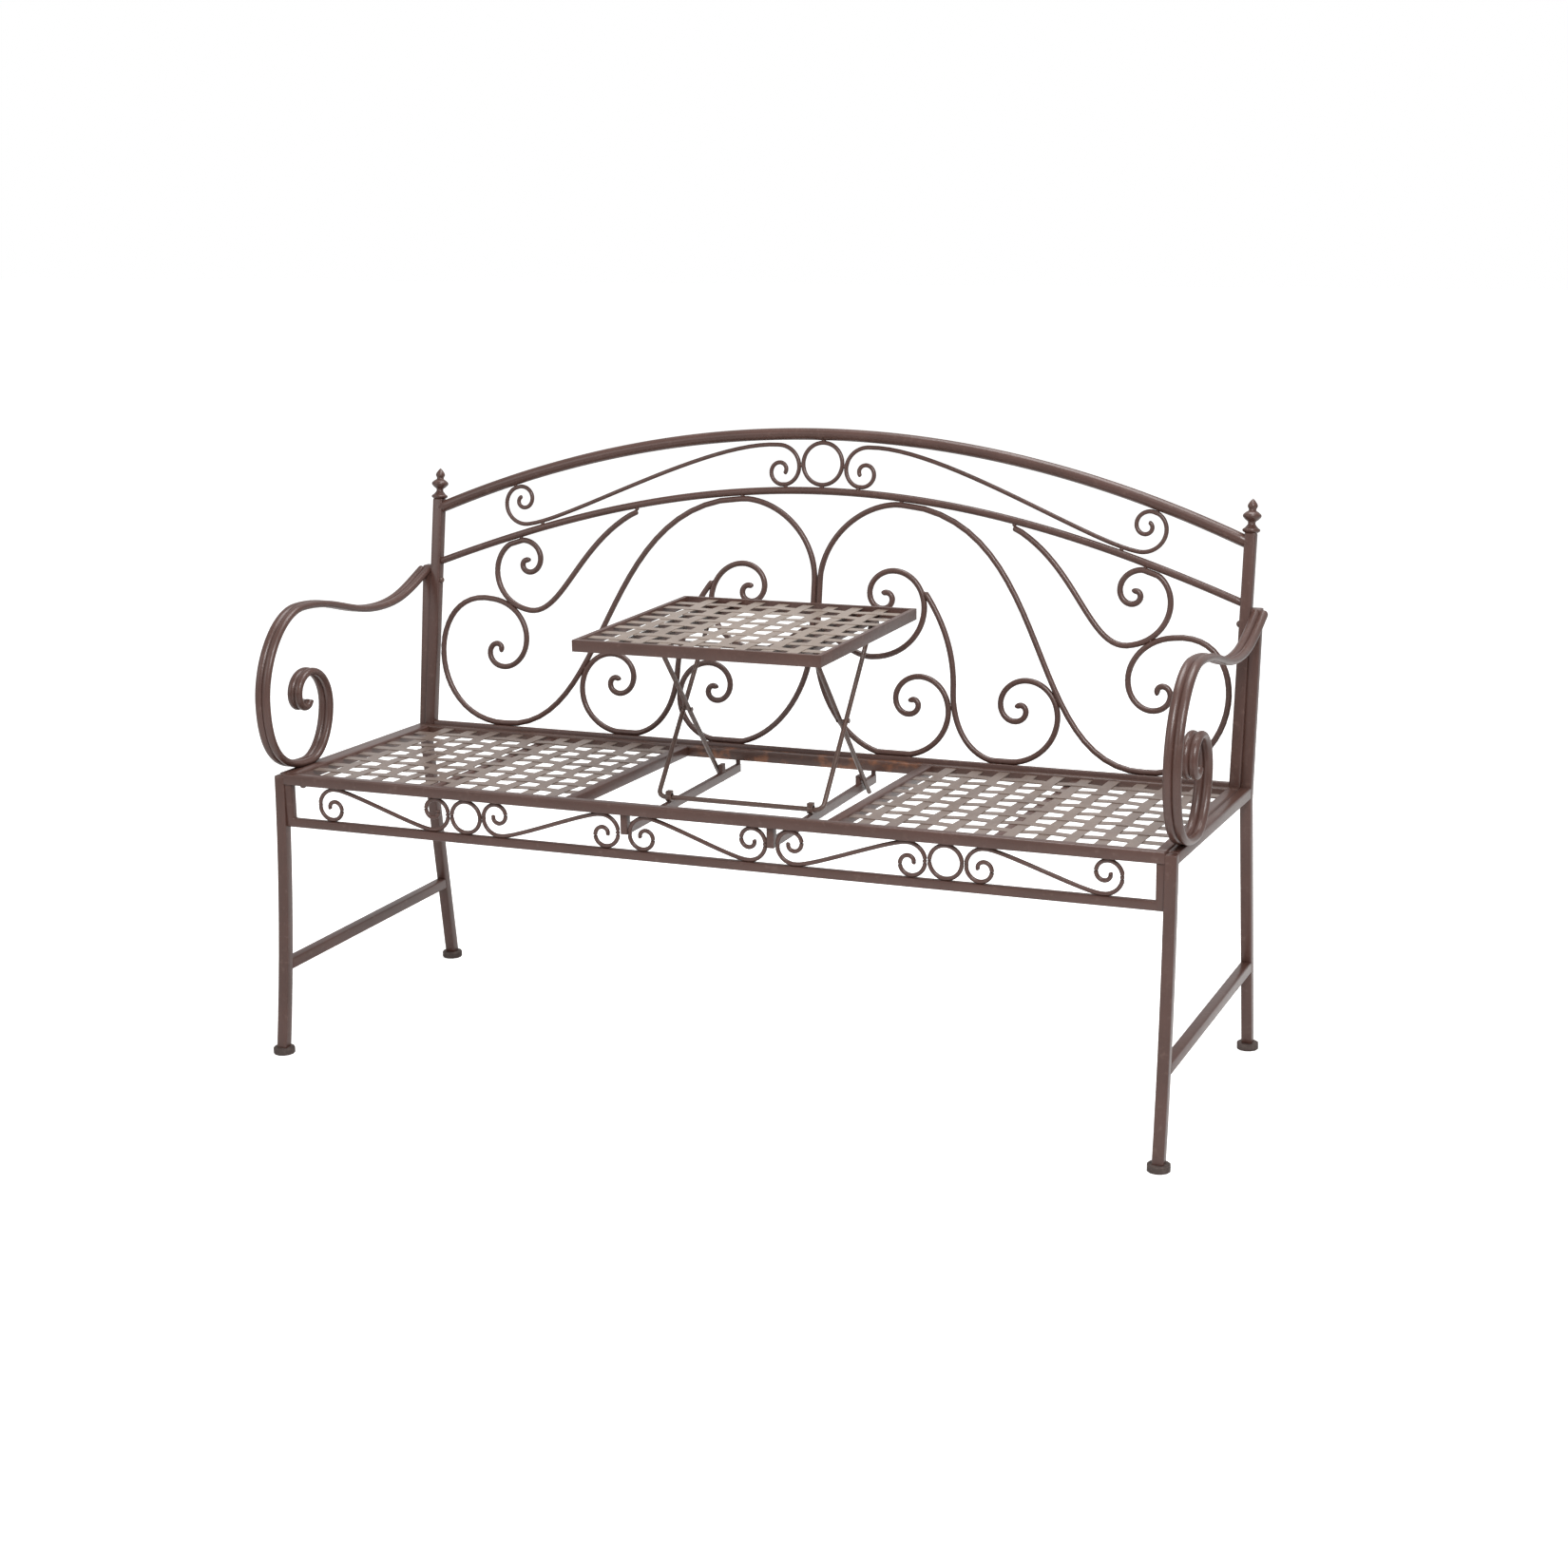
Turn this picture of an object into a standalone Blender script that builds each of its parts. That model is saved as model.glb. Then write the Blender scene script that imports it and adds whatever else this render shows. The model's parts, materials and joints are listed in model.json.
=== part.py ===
"""Garden bench with two woven seat panels and a folding table between them.

Sizes are in metres. X runs to the viewer's right, Y to the back and Z up from the floor.
"""

import math

import bmesh
import bpy
import numpy as np

# Bars and clearances
GAP = 0.0003
TUBE = 0.016
SLIM_BAR = 0.012
TOP_RAIL_DIA = 0.020
MIDDLE_RAIL_DIA = 0.0125
SCROLL_DIA = 0.008
CREST_DIA = 0.0065
APRON_SCROLL_DIA = 0.006

# Side frames
LEG_X = 0.735
FOOT_DIA = 0.032
FOOT_HEIGHT = 0.010
FRONT_LEG_SWEEP = 0.042
FRONT_LEG_BELOW_SEAT = 0.0035
STRETCHER_Z = 0.1455
POST_KNEE_BEHIND_BACK = 0.0051
POST_KNEE_BELOW_SEAT = 0.0325
POST_SPLAY = 0.054
POST_RISE = 0.294
POST_RAKE = 0.0405
POST_BEND = 0.05
SIDE_RAIL_DROP = 0.0019

# Armrests
ARM_X = 0.741
ARM_WIDTH = 0.025
ARM_THICK = 0.011
ARM_GROOVE = 0.003
ARM_FRONT_Y = 0.0195
ARM_LOW_Y = 0.135
ARM_CREST_Y = 0.14
ARM_DIP_Y = 0.39
ARM_END_RISE = 0.2545
ARM_DIP_RISE = 0.2165
ARM_CREST_RISE = 0.2565
ARM_FRONT_RISE = 0.1175
ARM_CURL_RISE = 0.1055
ARM_CURL_OUTER = 0.0718
ARM_CURL_INNER = 0.0089

# Seat
SEAT_Z = 0.4625
SEAT_FRONT_Y = 0.0425
SEAT_DEPTH = 0.4515
SEAT_FALL = math.radians(1.5)
TABLE_BAY_HALF = 0.2097
BRACE_WIDTH = 0.012
STRIP_WIDTH = 0.0185
STRIP_THICK = 0.0015
WEAVE_DROP = 0.002
PANEL_LONG_STRIPS = 10
PANEL_CROSS_STRIPS = 8
TABLE_STRIPS = 8

# Back
BACK_LEAN = math.radians(9.45)
BACK_BELOW_SEAT = 0.0025
POST_BELOW_BACK = 0.0205
BACK_POST_RISE = 0.384
BOTTOM_RAIL_BELOW = 0.0105
MIDDLE_RAIL_RISE = 0.4235
MIDDLE_RAIL_DROP = 0.1475
TOP_RAIL_RISE = 0.5165
TOP_RAIL_DROP = 0.1455
RING_BAR_DIA = 0.0065
FINIAL_DIA = 0.029
FINIAL_HEIGHT = 0.0535
BOLT_RISE = 0.243
BOLT_DIA = 0.012
BOLT_LENGTH = 0.006

# Apron under the seat front
APRON_HEIGHT = 0.0693
APRON_SCROLL_LENGTH = 0.24
APRON_SCROLL_SPACE = 0.0025

# Folding table and its scissor legs
TABLE_RISE = 0.252
TABLE_SINK = 0.004
TABLE_SIDE_SPACE = 0.0057
TABLE_END_SPACE = 0.0037
SKIRT_HEIGHT = 0.018
SKIRT_THICK = 0.008
ROD_DIA = 0.008
ROD_BEND = 0.012
ROD_LOWER = 0.1585
ROD_UPPER = 0.1735
FRONT_ROD_X = 0.1405
REAR_ROD_X = 0.1305
ROD_PAST_PIN = 0.036
ROD_PAST_EAR = 0.006
PIN_BEFORE_BACK = 0.0585
HINGE_BELOW_SEAT = 0.0285
COLLAR_DIA = 0.0145
COLLAR_LENGTH = 0.0095
UPPER_COLLAR_INNER_X = 0.104
LUG_REACH = 0.007
LUG_SPACE = 0.001
SUPPORT_HEIGHT = 0.0135
SUPPORT_INNER_X = 0.116
STRAP_WIDTH = 0.011
STRAP_DEPTH = 0.0125
REAR_STRAP_DEPTH = 0.005
EAR_THICK = 0.007
RUNNER_TOP_DROP = 0.010
RIVET_DIA = 0.004
RIVET_HEAD_DIA = 0.008
RIVET_HEAD_THICK = 0.0015

# Heights in the scroll sketch, whose unit is half the width between the back posts
SKETCH_RISE = 0.596
SKETCH_BAND = 0.131

# Finishes as colour, roughness and metallic
BROWN = ((0.085, 0.055, 0.045), 0.42, 0.6)
WOVEN_BROWN = ((0.11, 0.075, 0.06), 0.45, 0.6)
DARK_STEEL = ((0.06, 0.045, 0.04), 0.4, 0.8)
FOOT_BLACK = ((0.02, 0.02, 0.02), 0.7, 0.0)

# Places worked out from the sizes above
SEAT_HALF = LEG_X - TUBE / 2 - GAP
POST_INNER = SEAT_HALF - TUBE
BACK_Y = (
    SEAT_FRONT_Y + SEAT_DEPTH * math.cos(SEAT_FALL) + GAP
    + TUBE / 2 * math.cos(BACK_LEAN) + POST_BELOW_BACK * math.sin(BACK_LEAN)
)
BACK_Z = SEAT_Z - BACK_BELOW_SEAT
LEG_BOTTOM = FOOT_HEIGHT + GAP
FRONT_LEG_TOP_Y = SEAT_FRONT_Y + TUBE / 2
FRONT_LEG_TOP_Z = SEAT_Z - FRONT_LEG_BELOW_SEAT
FRONT_FOOT_Y = FRONT_LEG_TOP_Y - FRONT_LEG_SWEEP
KNEE = np.array([BACK_Y + POST_KNEE_BEHIND_BACK, SEAT_Z - POST_KNEE_BELOW_SEAT])
POST_FOOT = np.array([KNEE[0] + POST_SPLAY, LEG_BOTTOM])
POST_TOP = KNEE + [POST_RAKE, POST_RISE]
BAY_FRONT = SEAT_FRONT_Y + TUBE
BAY_BACK = SEAT_FRONT_Y + (SEAT_DEPTH - TUBE) * math.cos(SEAT_FALL)
ROD_LENGTH = ROD_LOWER + ROD_UPPER
FOLD_ANGLE = math.asin(TABLE_RISE / ROD_LENGTH)
ROD_AIM = np.array([0, math.cos(FOLD_ANGLE), math.sin(FOLD_ANGLE)])
HINGE = np.array([0, BAY_BACK - PIN_BEFORE_BACK, SEAT_Z - HINGE_BELOW_SEAT])
SCISSOR = HINGE + ROD_LOWER * ROD_AIM * [0, -1, 1]
TABLE_PIVOT = SCISSOR + ROD_UPPER * ROD_AIM
PIVOT_BELOW_TOP = HINGE_BELOW_SEAT - TABLE_SINK
TABLE_HALF = TABLE_BAY_HALF - TABLE_SIDE_SPACE
TABLE_DEPTH = BAY_BACK - BAY_FRONT - 2 * TABLE_END_SPACE
TABLE_BACK = PIN_BEFORE_BACK - TABLE_END_SPACE - (ROD_UPPER - ROD_LOWER)
SUPPORT_TOP = HINGE[2] - COLLAR_DIA / 2 - GAP
SUPPORT_OUTER_X = REAR_ROD_X - ROD_DIA / 2 - LUG_SPACE
FRONT_RAIL_UNDER = SEAT_Z - TUBE * (math.cos(SEAT_FALL) + math.sin(SEAT_FALL)) - GAP
APRON_BOTTOM = FRONT_RAIL_UNDER - APRON_HEIGHT
RAIL_X = np.linspace(GAP - POST_INNER, POST_INNER - GAP, 21)

# Frames that pieces are placed in, as a place and a tilt about X
GROUND = ((0, 0, 0), 0)
SEAT = ((0, SEAT_FRONT_Y, SEAT_Z), -SEAT_FALL)
BACK = ((0, BACK_Y, BACK_Z), -BACK_LEAN)
SIDES = (("left", -1), ("right", 1))


def clear_scene():
    for obj in list(bpy.data.objects):
        bpy.data.objects.remove(obj, do_unlink=True)


def paint(obj, finish):
    """Gives the object a plain material of its own."""
    colour, roughness, metallic = finish
    material = bpy.data.materials.new(obj.name)
    material.use_nodes = True
    shader = material.node_tree.nodes["Principled BSDF"]
    shader.inputs["Base Color"].default_value = (*colour, 1)
    shader.inputs["Roughness"].default_value = roughness
    shader.inputs["Metallic"].default_value = metallic
    obj.data.materials.append(material)


def add(name, shape, finish, frame=GROUND, smooth=None):
    """Makes an object of the points and faces, placed in the frame; smooth is an angle in degrees."""
    points, faces = shape
    mesh = bpy.data.meshes.new(name)
    mesh.from_pydata([tuple(map(float, point)) for point in points], [], faces)
    work = bmesh.new()
    work.from_mesh(mesh)
    bmesh.ops.recalc_face_normals(work, faces=work.faces)
    work.to_mesh(mesh)
    work.free()
    if smooth:
        mesh.shade_smooth()
        mesh.set_sharp_from_angle(angle=math.radians(smooth))
    obj = bpy.data.objects.new(name, mesh)
    bpy.context.scene.collection.objects.link(obj)
    obj.location, obj.rotation_euler.x = frame
    paint(obj, finish)
    return obj


def helper(name, shape, frame=GROUND):
    """A hidden piece that a Boolean adds or takes away."""
    obj = add(name, shape, DARK_STEEL, frame)
    obj.hide_render = True
    obj.display_type = "WIRE"
    return obj


def combine(obj, other, operation):
    modifier = obj.modifiers.new(other.name, "BOOLEAN")
    modifier.operation = operation
    modifier.solver = "EXACT"
    modifier.object = other


# Shapes, each given as points and faces
def box(low, high):
    points = [
        (x, y, z)
        for x in (low[0], high[0])
        for y in (low[1], high[1])
        for z in (low[2], high[2])
    ]
    faces = [(0, 1, 3, 2), (4, 6, 7, 5), (0, 4, 5, 1), (2, 3, 7, 6), (0, 2, 6, 4), (1, 5, 7, 3)]
    return points, faces


def mirrored_box(low, high, side):
    """A box whose X sizes are given for the right-hand side."""
    x = sorted((low[0] * side, high[0] * side))
    return box((x[0], *low[1:]), (x[1], *high[1:]))


def lathe(profile, sides, spot):
    """Turns (radius, height) points into a solid; the first and last lie on the axis."""
    points = [spot(0, 0, profile[0][1])]
    for radius, height in profile[1:-1]:
        for k in range(sides):
            angle = 2 * math.pi * k / sides
            points.append(spot(radius * math.cos(angle), radius * math.sin(angle), height))
    points.append(spot(0, 0, profile[-1][1]))
    last = len(points) - 1
    rings = len(profile) - 2
    faces = []
    for k in range(sides):
        following = (k + 1) % sides
        faces.append((0, 1 + k, 1 + following))
        faces.append((last, last - sides + following, last - sides + k))
        for ring in range(rings - 1):
            low = 1 + ring * sides
            faces.append((low + k, low + sides + k, low + sides + following, low + following))
    return points, faces


def rod_along_x(low, high, radius, place, sides=12):
    """A plain round pin along X through a place."""
    profile = [(0, low), (radius, low), (radius, high), (0, high)]
    return lathe(profile, sides, lambda a, b, h: (h, place[1] + a, place[2] + b))


def unit(vector):
    return vector / np.linalg.norm(vector)


def round_section(dia, sides=6):
    angles = [2 * math.pi * k / sides for k in range(sides)]
    return [(dia / 2 * math.cos(a), dia / 2 * math.sin(a)) for a in angles]


def flat_section(width, depth):
    """A rectangle, width measured in the plane of the path."""
    return [(i * width / 2, j * depth / 2) for i, j in ((-1, -1), (1, -1), (1, 1), (-1, 1))]


def sweep(path, section, spot, start_cut=None, end_cut=None, closed=False):
    """Runs a section along a flat path; spot turns path and depth values into a place in space.

    A cut is the direction in the path's plane that an end face lies along.
    """
    path = np.array(path, float)
    count = len(path)
    legs = [unit(path[(k + 1) % count] - path[k]) for k in range(count)]
    points = []
    for k in range(count):
        before, after = legs[k - 1], legs[k]
        cut = None
        if not closed and k == 0:
            before, cut = after, start_cut
        if not closed and k == count - 1:
            after, cut = before, end_cut
        square = np.array([-before[1], before[0]])
        along = unit(before + after)
        across = np.array([-along[1], along[0]]) if cut is None else unit(np.array(cut, float))
        across = across / (across @ square)
        points += [spot(*(path[k] + across * m), depth) for m, depth in section]
    size = len(section)
    faces = []
    for k in range(count if closed else count - 1):
        low, high = k * size, (k + 1) % count * size
        for i in range(size):
            j = (i + 1) % size
            faces.append((low + i, low + j, high + j, high + i))
    if not closed:
        faces += [tuple(range(size)), tuple(range((count - 1) * size, count * size))]
    return points, faces


def upright(x):
    """Puts a path of (y, z) values on the plane of a side frame."""
    return lambda y, z, depth: (x + depth, y, z)


def facing(y):
    """Puts a path of (x, z) values on a plane that faces the front."""
    return lambda x, z, depth: (x, y + depth, z)


# Curves
def curl(centre, outer, inner, start, end, fade=1.8):
    """A spiral from its outer end inwards, with angles in degrees and finer steps on the outside."""
    count = round(abs(end - start) / 34)
    share = np.linspace(0, 1, count + 1) ** 1.5
    angle = np.radians(start + (end - start) * share)
    radius = inner + (outer - inner) * (1 - share) ** fade
    return np.array(centre) + (radius * [np.cos(angle), np.sin(angle)]).T


def circle(centre, radius, count=16):
    angle = np.linspace(0, 2 * math.pi, count, endpoint=False)
    return np.array(centre) + radius * np.column_stack([np.cos(angle), np.sin(angle)])


def link(start, start_aim, end, end_aim, reach=0.4, end_reach=None, steps=6):
    """A smooth bend between two places that leaves and arrives along the given directions."""
    start, end = np.array(start, float), np.array(end, float)
    span = np.linalg.norm(end - start)
    first = start + unit(np.array(start_aim, float)) * span * reach
    second = end - unit(np.array(end_aim, float)) * span * (end_reach or reach)
    t = np.linspace(0, 1, steps + 1)[:, None]
    return (1 - t) ** 3 * start + 3 * (1 - t) ** 2 * t * first + 3 * (1 - t) * t * t * second + t ** 3 * end


def chain(*pieces):
    """Joins stretches of path, dropping the doubled point at each joint."""
    path = [pieces[0]]
    for piece in pieces[1:]:
        path.append(piece[1:] if np.allclose(piece[0], path[-1][-1], atol=1e-6) else piece)
    return np.vstack(path)


def round_corners(corners, radius, steps):
    """A path of straight stretches with an arc at each corner."""
    corners = [np.array(corner, float) for corner in corners]
    path = [corners[0]]
    for before, corner, after in zip(corners, corners[1:], corners[2:]):
        back, on = unit(before - corner), unit(after - corner)
        half = math.acos(back @ on) / 2
        centre = corner + unit(back + on) * radius / math.sin(half)
        first = corner + back * radius / math.tan(half) - centre
        turn = math.copysign(math.pi - 2 * half, back[1] * on[0] - back[0] * on[1])
        for k in range(steps + 1):
            c, s = math.cos(turn * k / steps), math.sin(turn * k / steps)
            path.append(centre + [c * first[0] - s * first[1], s * first[0] + c * first[1]])
    return path + [corners[-1]]


# Side frames
def front_leg_y(z):
    """Centre line of the sabre leg, straightest at the top."""
    share = (FRONT_LEG_TOP_Z - z) / (FRONT_LEG_TOP_Z - LEG_BOTTOM)
    return FRONT_LEG_TOP_Y - FRONT_LEG_SWEEP * (0.25 * share + 0.75 * share ** 2)


def front_leg_aim(z):
    return np.array([front_leg_y(z + GAP) - front_leg_y(z - GAP), 2 * GAP])


def rear_post_aim(z):
    return POST_TOP - KNEE if z > KNEE[1] else KNEE - POST_FOOT


def rear_post_y(z):
    aim = rear_post_aim(z)
    return KNEE[0] + (z - KNEE[1]) * aim[0] / aim[1]


def half_across(aim):
    """Half the level width of a tube that runs along the aim."""
    return TUBE / 2 * np.linalg.norm(aim) / aim[1] + GAP


def between_legs(front_z, rear_z):
    """A tube's path from the front leg's back face to the rear post's front face, with its end cuts."""
    front, rear = front_leg_aim(front_z), rear_post_aim(rear_z)
    start = (front_leg_y(front_z) + half_across(front), front_z)
    end = (rear_post_y(rear_z) - half_across(rear), rear_z)
    return [start, end], front, rear


def side_rail_z(y):
    """Centre height of a side rail, which falls to the back with the seat."""
    return SEAT_Z - SIDE_RAIL_DROP - TUBE / 2 - (y - SEAT_FRONT_Y) * math.tan(SEAT_FALL)


def arm_path():
    """Centre line of an armrest, from the rear post to the scroll on the seat rail."""
    low_z = side_rail_z(ARM_LOW_Y) + (TUBE + ARM_THICK) / 2 + GAP
    end_z = SEAT_Z + ARM_END_RISE
    aim = rear_post_aim(end_z)
    end = (rear_post_y(end_z) - half_across(aim), end_z)
    dip = (ARM_DIP_Y, SEAT_Z + ARM_DIP_RISE)
    crest = (ARM_CREST_Y, SEAT_Z + ARM_CREST_RISE)
    front = (ARM_FRONT_Y, SEAT_Z + ARM_FRONT_RISE)
    low = (ARM_LOW_Y, low_z)
    centre = (ARM_LOW_Y + 0.002, SEAT_Z + ARM_CURL_RISE)
    scroll = curl(centre, ARM_CURL_OUTER, ARM_CURL_INNER, -26, 335)
    return chain(
        link(end, (-0.93, -0.37), dip, (-1, 0), steps=3),
        link(dip, (-1, 0), crest, (-1, 0), steps=4),
        link(crest, (-1, 0), front, (0, -1), 0.36),
        link(front, (0, -1), low, (1, 0), 0.48),
        link(low, (1, 0), scroll[0], scroll[1] - scroll[0], 0.36, steps=4),
        scroll,
    ), aim


def arm_section():
    """A flat bar with bevelled edges and a shallow groove along both faces."""
    half, thick = ARM_WIDTH / 2, ARM_THICK / 2
    bevel = thick - 0.0025
    shoulder = half * 0.56
    top = [(bevel, -half), (thick, -shoulder), (thick - ARM_GROOVE, 0), (thick, shoulder), (bevel, half)]
    return top + [(-m, depth) for m, depth in reversed(top)]


def build_side_frame(name, side):
    x = LEG_X * side
    square = flat_section(TUBE, TUBE)
    heights = np.linspace(LEG_BOTTOM, FRONT_LEG_TOP_Z, 10)
    leg = [(front_leg_y(z), z) for z in heights]
    add(f"{name}_front_leg", sweep(leg, square, upright(x), (1, 0), (1, 0)), BROWN)
    post = round_corners([POST_FOOT, KNEE, POST_TOP], POST_BEND, 3)
    add(f"{name}_rear_post", sweep(post, square, upright(x), (1, 0), (1, 0)), BROWN)
    stretcher, front, rear = between_legs(STRETCHER_Z, STRETCHER_Z)
    add(f"{name}_stretcher", sweep(stretcher, square, upright(x), front, rear), BROWN)
    rail, front, rear = between_legs(side_rail_z(FRONT_LEG_TOP_Y), side_rail_z(KNEE[0]))
    add(f"{name}_seat_side_rail", sweep(rail, square, upright(x), front, rear), BROWN)
    arm, post_aim = arm_path()
    arm_shape = sweep(arm, arm_section(), upright(ARM_X * side), post_aim)
    add(f"{name}_armrest", arm_shape, BROWN, smooth=35)
    for end, y in (("front", FRONT_FOOT_Y), ("rear", POST_FOOT[0])):
        rim = FOOT_DIA / 2
        profile = [(0, 0), (rim, 0), (rim, FOOT_HEIGHT), (0, FOOT_HEIGHT)]
        disc = lathe(profile, 12, lambda a, b, h: (a, b, h))
        add(f"{name}_{end}_foot", disc, FOOT_BLACK, ((x, y, 0), 0), smooth=50)


# Seat
def weave(long_x, cross_y, x_ends, y_ends, top):
    """Flat strips that pass over and under each other, joined into one body where they cross."""
    levels = (top - 2 * STRIP_THICK, top - STRIP_THICK, top)
    half = STRIP_WIDTH / 2
    places = {}
    faces = []

    def corner(x, y, level):
        return places.setdefault((round(x, 6), round(y, 6), level), len(places))

    def panel(*corners):
        faces.append([corner(*spot) for spot in corners])

    def strip(at, start, start_level, end, end_level, along_x, capped):
        """One stretch of a strip between two crossings, or out to the frame if capped."""
        def spot(along, across, level):
            return (along, across, level) if along_x else (across, along, level)

        left, right = at - half, at + half
        for up in (0, 1):
            near, far = start_level + up, end_level + up
            first = [spot(start, edge, near) for edge in (left, right)]
            last = [spot(end, edge, far) for edge in (right, left)]
            panel(*first, *last)
        for edge in (left, right):
            low, high = spot(start, edge, start_level), spot(start, edge, start_level + 1)
            panel(low, high, spot(end, edge, end_level + 1), spot(end, edge, end_level))
        if capped:
            low, high = spot(end, left, end_level), spot(end, right, end_level)
            panel(low, high, spot(end, right, end_level + 1), spot(end, left, end_level + 1))

    def run(at, row, crossings, ends, along_x):
        """All stretches of one strip and the bare half face beside each of its joints."""
        over = [(row + k + along_x) % 2 for k in range(len(crossings))]
        stops = [(crossings[0] - half, over[0], ends[0], over[0], True)]
        for k in range(len(crossings) - 1):
            stops.append((crossings[k] + half, over[k], crossings[k + 1] - half, over[k + 1], False))
        stops.append((crossings[-1] + half, over[-1], ends[1], over[-1], True))
        for start, start_level, end, end_level, capped in stops:
            strip(at, start, start_level, end, end_level, along_x, capped)
            joints = [(start, start_level)] if capped else [(start, start_level), (end, end_level)]
            for spot, level in joints:
                bare = 1 - level
                pair = [(spot, at - half), (spot, at + half)]
                first, second = pair if along_x else [place[::-1] for place in pair]
                panel((*first, bare), (*second, bare), (*second, bare + 1), (*first, bare + 1))

    for i, x in enumerate(long_x):
        run(x, i, cross_y, y_ends, 0)
        for y in cross_y:
            for level in (0, 2):
                panel(*[(x + a * half, y + b * half, level) for a, b in ((-1, -1), (1, -1), (1, 1), (-1, 1))])
    for j, y in enumerate(cross_y):
        run(y, j, long_x, x_ends, 1)
    return [(x, y, levels[level]) for x, y, level in places], faces


def even_strips(start, end, count, edge, room):
    """Strip places from the start towards the end: edge is the first space and room the whole, in pitches."""
    pitch = (end - start) / room
    return sorted(start + pitch * (edge + k) for k in range(count))


def build_seat():
    back_face = SEAT_DEPTH - TUBE
    add("seat_front_rail", box((-SEAT_HALF, 0, -TUBE), (SEAT_HALF, TUBE, 0)), BROWN, SEAT)
    add("seat_back_rail", box((-SEAT_HALF, back_face, -TUBE), (SEAT_HALF, SEAT_DEPTH, 0)), BROWN, SEAT)
    y_ends = (TUBE + GAP, back_face - GAP)
    inner_face = TABLE_BAY_HALF + TUBE
    under_weave = -WEAVE_DROP - 2 * STRIP_THICK - GAP
    middle = (inner_face + POST_INNER) / 2
    for name, side in SIDES:
        for rail, low, high, top in (
            ("outer_rail", POST_INNER, SEAT_HALF, 0),
            ("inner_rail", TABLE_BAY_HALF, inner_face, 0),
            ("brace", middle - BRACE_WIDTH / 2, middle + BRACE_WIDTH / 2, under_weave),
        ):
            shape = mirrored_box((low, y_ends[0], -TUBE), (high, y_ends[1], top), side)
            add(f"{name}_panel_{rail}", shape, BROWN, SEAT)
        long_strips = even_strips(POST_INNER, inner_face, PANEL_LONG_STRIPS, 0.945, 10.68)
        long_x = sorted(side * x for x in long_strips)
        cross_y = even_strips(back_face, TUBE, PANEL_CROSS_STRIPS, 0.956, 9.16)
        x_ends = sorted((side * (inner_face + GAP), side * (POST_INNER - GAP)))
        shape = weave(long_x, cross_y, x_ends, y_ends, -WEAVE_DROP)
        add(f"{name}_panel_weave", shape, WOVEN_BROWN, SEAT)


# Back
def top_rail_height(x):
    return TOP_RAIL_RISE - TOP_RAIL_DROP * (x / POST_INNER) ** 2


def middle_rail_height(x):
    share = (x / POST_INNER) ** 2
    return MIDDLE_RAIL_RISE - MIDDLE_RAIL_DROP * share * (1.1 - 0.1 * share)


def beside_rail(height, rail_dia, bar_dia, x, direction):
    """Height at which a bar lies against an arched rail, above it for 1 and below it for -1."""
    slope = (height(x + GAP) - height(x - GAP)) / (2 * GAP)
    reach = ((rail_dia + bar_dia) / 2 + GAP) * np.sqrt(1 + slope ** 2)
    return np.interp(x, RAIL_X, height(RAIL_X)) + direction * reach


def fit_in_back(path, dia, low, high):
    """Keeps a bar's centre line clear of the middle, the post and what lies under and over it."""
    x = np.clip(path[:, 0], dia / 2 + GAP / 2, POST_INNER - dia / 2 - GAP)
    return np.column_stack([x, np.minimum(np.maximum(path[:, 1], low(x)), high(x))])


def lower_scroll(*pieces):
    """A scroll between the bottom and middle rails, stretched from the sketch to the back's size."""
    stretch = [POST_INNER, MIDDLE_RAIL_RISE / SKETCH_RISE]
    floor = (SLIM_BAR + SCROLL_DIA) / 2 + GAP - BOTTOM_RAIL_BELOW
    return fit_in_back(
        chain(*pieces) * stretch,
        SCROLL_DIA,
        lambda x: floor + 0 * x,
        lambda x: beside_rail(middle_rail_height, MIDDLE_RAIL_DIA, SCROLL_DIA, x, -1),
    )


def crest_scroll():
    """The long scroll between the middle and top rails; it starts beside the centre ring."""
    start = curl((0.1037, 0.0455), 0.0591, 0.012, 80, 585, 1.7)[::-1]
    end = curl((0.7785, -0.0505), 0.0592, 0.0101, -110, 430, 1.65)
    bend = link(start[-1], start[-1] - start[-2], end[0], end[1] - end[0], 0.26, 0.17, 8)
    band = TOP_RAIL_RISE - MIDDLE_RAIL_RISE
    path = chain(start, bend, end) * [POST_INNER, band / SKETCH_BAND]
    return fit_in_back(
        path + [0, MIDDLE_RAIL_RISE],
        CREST_DIA,
        lambda x: beside_rail(middle_rail_height, MIDDLE_RAIL_DIA, CREST_DIA, x, 1),
        lambda x: beside_rail(top_rail_height, TOP_RAIL_DIA, CREST_DIA, x, -1),
    )


def hook_scroll():
    """Hangs from the middle rail and rolls up under its outer end."""
    end = curl((0.7605, 0.394), 0.1118, 0.0075, -90, 500, 2.25)
    return lower_scroll(link((0.47, 0.5314), (1, -0.5), end[0], end[1] - end[0], 0.47, 0.27), end)


def arch_scroll():
    """Rolls up at the bottom, rises beside the middle, arches over and ends in the large roll."""
    start = curl((0.2498, 0.1189), 0.1182, 0.007, -90, 520, 2.1)[::-1]
    end = curl((0.8305, 0.1825), 0.1222, 0.007, 80, 600, 2.7)
    middle = SCROLL_DIA / 2 / POST_INNER
    foot, head, top, low = (middle, 0.2462), (middle, 0.3869), (0.2111, 0.5709), (0.805, 0)
    fall = (1, -0.09)
    return lower_scroll(
        start,
        link(start[-1], start[-1] - start[-2], foot, (0, 1), 0.4),
        link(foot, (0, 1), head, (0, 1), steps=1),
        link(head, (0, 1), top, fall, 0.38),
        link(top, fall, low, (1, 0), 0.445, 0.35, 8),
        link(low, (1, 0), end[0], end[1] - end[0], 0.74, 0.62, 8),
        end,
    )


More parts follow.
